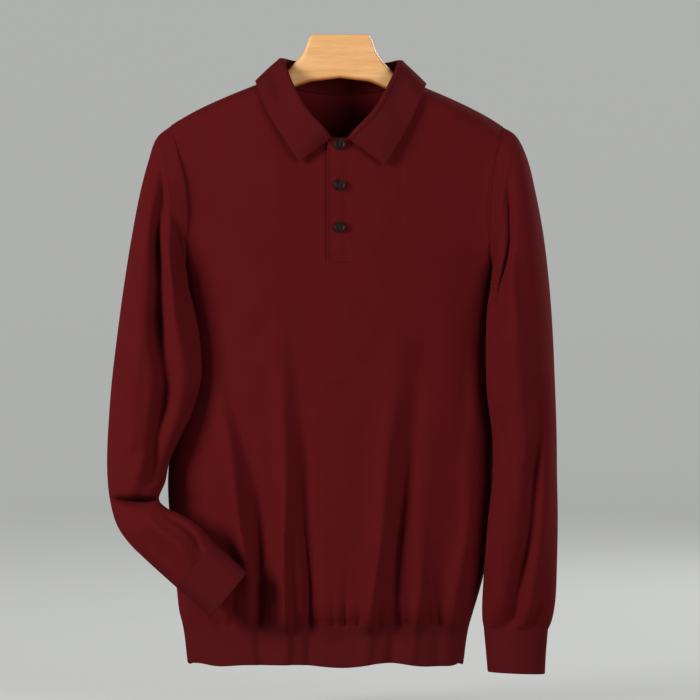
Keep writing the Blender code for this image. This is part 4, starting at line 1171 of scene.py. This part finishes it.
def button(number, drop, spin):
    """A disc in polar coordinates: depth as a function of the radius, less four steep pits."""
    x = (PLACKET_LEFT + PLACKET_RIGHT) / 2 + 0.0006
    seat = front_place(np.array(x), np.array(drop), BAND_LIFT + RIB_WALL / 2)
    rim = np.linspace(0, 1, 9) * math.pi / 2
    radius = np.concatenate([[0.03, 0.5], 0.84 + 0.16 * np.sin(rim), 0.86 + 0.14 * np.cos(rim[1:]),
                             [0.82, 0.77, 0.72, 0.68], np.linspace(0.64, 0.02, FACE_RINGS)])
    depth = np.concatenate([[0, 0], 0.42 * (1 - np.cos(rim)), 0.42 + 0.58 * np.sin(rim[1:]),
                            [0.97, 0.88, 0.78, 0.72], np.full(FACE_RINGS, 0.70)])
    radius, depth = radius[:, None] * BUTTON_RADIUS, depth[:, None] * BUTTON_THICKNESS
    turn = full_turn(BUTTON_SIDES)
    away_x, away_z = radius * np.cos(turn), radius * np.sin(turn)
    depth = np.repeat(depth, BUTTON_SIDES, axis=1)
    for corner in np.radians((45, 135, 225, 315)) + spin:
        gap = np.hypot(away_x - HOLE_AWAY * math.sqrt(2) * math.cos(corner),
                       away_z - HOLE_AWAY * math.sqrt(2) * math.sin(corner))
        pit = smooth_step((HOLE_RADIUS * 1.12 - gap) / (HOLE_RADIUS * 0.30))
        depth[FACE_FROM:] -= HOLE_DEPTH * BUTTON_THICKNESS * pit[FACE_FROM:]
    points = np.stack([seat[0] + away_x, seat[1] - BUTTON_SHANK - depth, seat[2] + away_z], axis=-1)
    disc = mesh_object(f"horn_button_{number}", points.reshape(-1, 3),
                       capped(len(radius), BUTTON_SIDES), horn, sharp=60)
    stands_for(outward(disc), f"button_{number}")
    run = np.linspace(-1, 1, 15)
    along, height = HOLE_AWAY * run, 0.62 * BUTTON_THICKNESS + BUTTON_SHANK
    for bar, up in enumerate((HOLE_AWAY, -HOLE_AWAY), 1):
        path = np.stack([seat[0] + along * math.cos(spin) - up * math.sin(spin),
                         seat[1] - (height + THREAD_ARCH * (1 - run**4)),
                         seat[2] + along * math.sin(spin) + up * math.cos(spin)], axis=1)
        tube(f"button_{number}_thread_{bar}", path, THREAD_RADIUS, thread, step=0.0002)


for number, (drop, spin) in enumerate(zip(BUTTON_DROPS, BUTTON_TURNS), 1):
    button(number, drop, spin)
print("three buttons, four holes each")

# %% [markdown]
# ## The hanger
# A flat wooden hanger: its middle rises to a flat top, and its arms fill the shoulders. It is a
# row of rounded sections along X. The grain runs along the wood, so the pattern is noise that is
# stretched along X, and satin lacquer gives it a soft gloss. Its lower face gets painted shade, a
# darker and redder colour: how far a point lies on the lower face is an attribute of the mesh,
# and blends the two colours.

# %% Wood
wood, add, show = new_material("pale_wood_grain", {
    "Roughness": 0.42, "Coat Weight": 0.15, "Coat Roughness": 0.30})
where = add("ShaderNodeTexCoord").outputs["Object"]
drift = noise(add, where, 1.0, 5.0, stretch=(7.0, 60.0, 110.0), roughness=0.6)
pores = noise(add, where, 1.0, 2.0, stretch=(60.0, 900.0, 1500.0))
tone = ramp(add, drift, (0.30, (0.64, 0.315, 0.112)), (0.70, (0.77, 0.440, 0.180)))
fine = add("ShaderNodeMapRange", {0: pores, 1: 0.35, 2: 0.65, 3: 0.90, 4: 1.03}).outputs[0]
shaded = add("ShaderNodeVectorMath", {0: tone, "Scale": fine}, operation="SCALE").outputs[0]
# painted shade: the wood's lower face is blended to a darker, redder colour
lower = add("ShaderNodeAttribute", attribute_name="underside_shade").outputs["Fac"]
shaded_underneath = add("ShaderNodeMix", {"Factor": lower, 6: shaded, 7: (0.46, 0.150, 0.035, 1)},
            data_type="RGBA")
show(shaded_underneath.outputs[2], "Base Color")
bump = add("ShaderNodeBump", {"Height": pores, "Strength": 0.12, "Distance": 0.0002})
show(bump.outputs[0], "Normal")

# %% Hanger
#   from the centre, drop of its top, of its underside, half its thickness
HANGER = tenths(
    (0, 0, 520, 75), (340, 0, 562, 75),
    (385, 80, 575, 75), (410, 170, 585, 75),
    (465, 265, 605, 75), (550, 360, 640, 76),
    (640, 450, 690, 76), (710, 580, 740, 74),
    (850, 635, 800, 85), (1200, 737, 950, 115),
    (1550, 898, 1100, 130), (1740, 999, 1180, 112),
    (1800, 1050, 1160, 95),
)
HANGER_HALF, HANGER_ROWS, HANGER_SIDES = 0.1800, 481, 64
UNDERSIDE_FROM, UNDERSIDE_OVER = 0.62, 0.22  # where the painted shade on the wood's lower face starts, as a sine
x = np.linspace(-HANGER_HALF, HANGER_HALF, HANGER_ROWS)
away = np.abs(x)
kernel = np.array([1, 4, 6, 4, 1]) / 16
top, below, half = [np.convolve(np.pad(np.interp(away, HANGER[:, 0], HANGER[:, k]), 2, mode="edge"),
                                kernel, mode="valid") for k in (1, 2, 3)]
tip = quarter_circle((HANGER_HALF - away) / 0.004, 0.03)
middle = (top + below) / 2 + SHOULDER_TILT * x * smooth_step((away - 0.034) / 0.02)
corner = np.interp(away, (0.034, 0.065), (0.40, 0.85))[:, None]
turn = full_turn(HANGER_SIDES)[None, :]
wide, tall = [np.sign(wave) * np.abs(wave)**corner * (size * tip)[:, None]
              for wave, size in ((np.cos(turn), half), (np.sin(turn), (below - top) / 2))]
points = np.stack(np.broadcast_arrays(x[:, None], wide, tall - middle[:, None]), axis=-1)
hanger = outward(mesh_object("wooden_hanger", points.reshape(-1, 3),
                             capped(HANGER_ROWS, HANGER_SIDES), wood, sharp=60))
# how far each point lies in the painted shade on the wood's lower face
lower = np.clip((-np.sin(turn) - UNDERSIDE_FROM) / UNDERSIDE_OVER, 0, 1)
lower = np.repeat(lower, HANGER_ROWS, axis=0).ravel()
hanger.data.attributes.new("underside_shade", "FLOAT", "POINT").data.foreach_set("value", lower)
stands_for(hanger, "hanger")
print("hanger:", 2 * (HANGER_ROWS - 1) * HANGER_SIDES, "triangles")

# %% [markdown]
# ## What the sheets are
# Each knitted piece is listed with the size it was knitted to, before it was hung, and its area is
# printed beside the cut's area.

# %% Sheets
def one_layer(piece):
    """Area of one side of a piece in square metres."""
    mesh = piece.data
    area = np.zeros(len(mesh.polygons))
    mesh.polygons.foreach_get("area", area)
    return area.sum() / 2


# piece, cut (width, length), flat area, how it is held, what it lies on, pieces that go with it
SHEETS = (
    (front, (0.500, 0.690), 0.300, "hung", ["wooden_hanger"], body_seams),
    (back, (0.500, 0.690), 0.320, "hung", ["wooden_hanger"], []),
    (sleeve_left, (0.280, 0.590), 0.118, "hung", ["wooden_hanger"], armhole_seams["left"]),
    (sleeve_right, (0.280, 0.590), 0.125, "hung", ["wooden_hanger"], armhole_seams["right"]),
    (hem, (0.760, 0.050), None, "hung", ["jersey_front", "jersey_back"], []),
    (cuff_left, (0.160, 0.055), None, "hung", ["jersey_sleeve_left"], []),
    (cuff_right, (0.160, 0.055), None, "hung", ["jersey_sleeve_right"], []),
    (collar, (0.400, 0.100), None, "folded", ["jersey_front", "jersey_back"], []),
    (band, (0.028, 0.150), None, "hung", ["jersey_front"], stitches),
    (under, (0.027, 0.140), None, "hung", ["jersey_front"], []),
)
for piece, flat, area, held, rests_on, others in SHEETS:
    print(f"{piece.name}: {one_layer(piece):.4f} m2, cut to {area or flat[0] * flat[1]:.4f} m2")
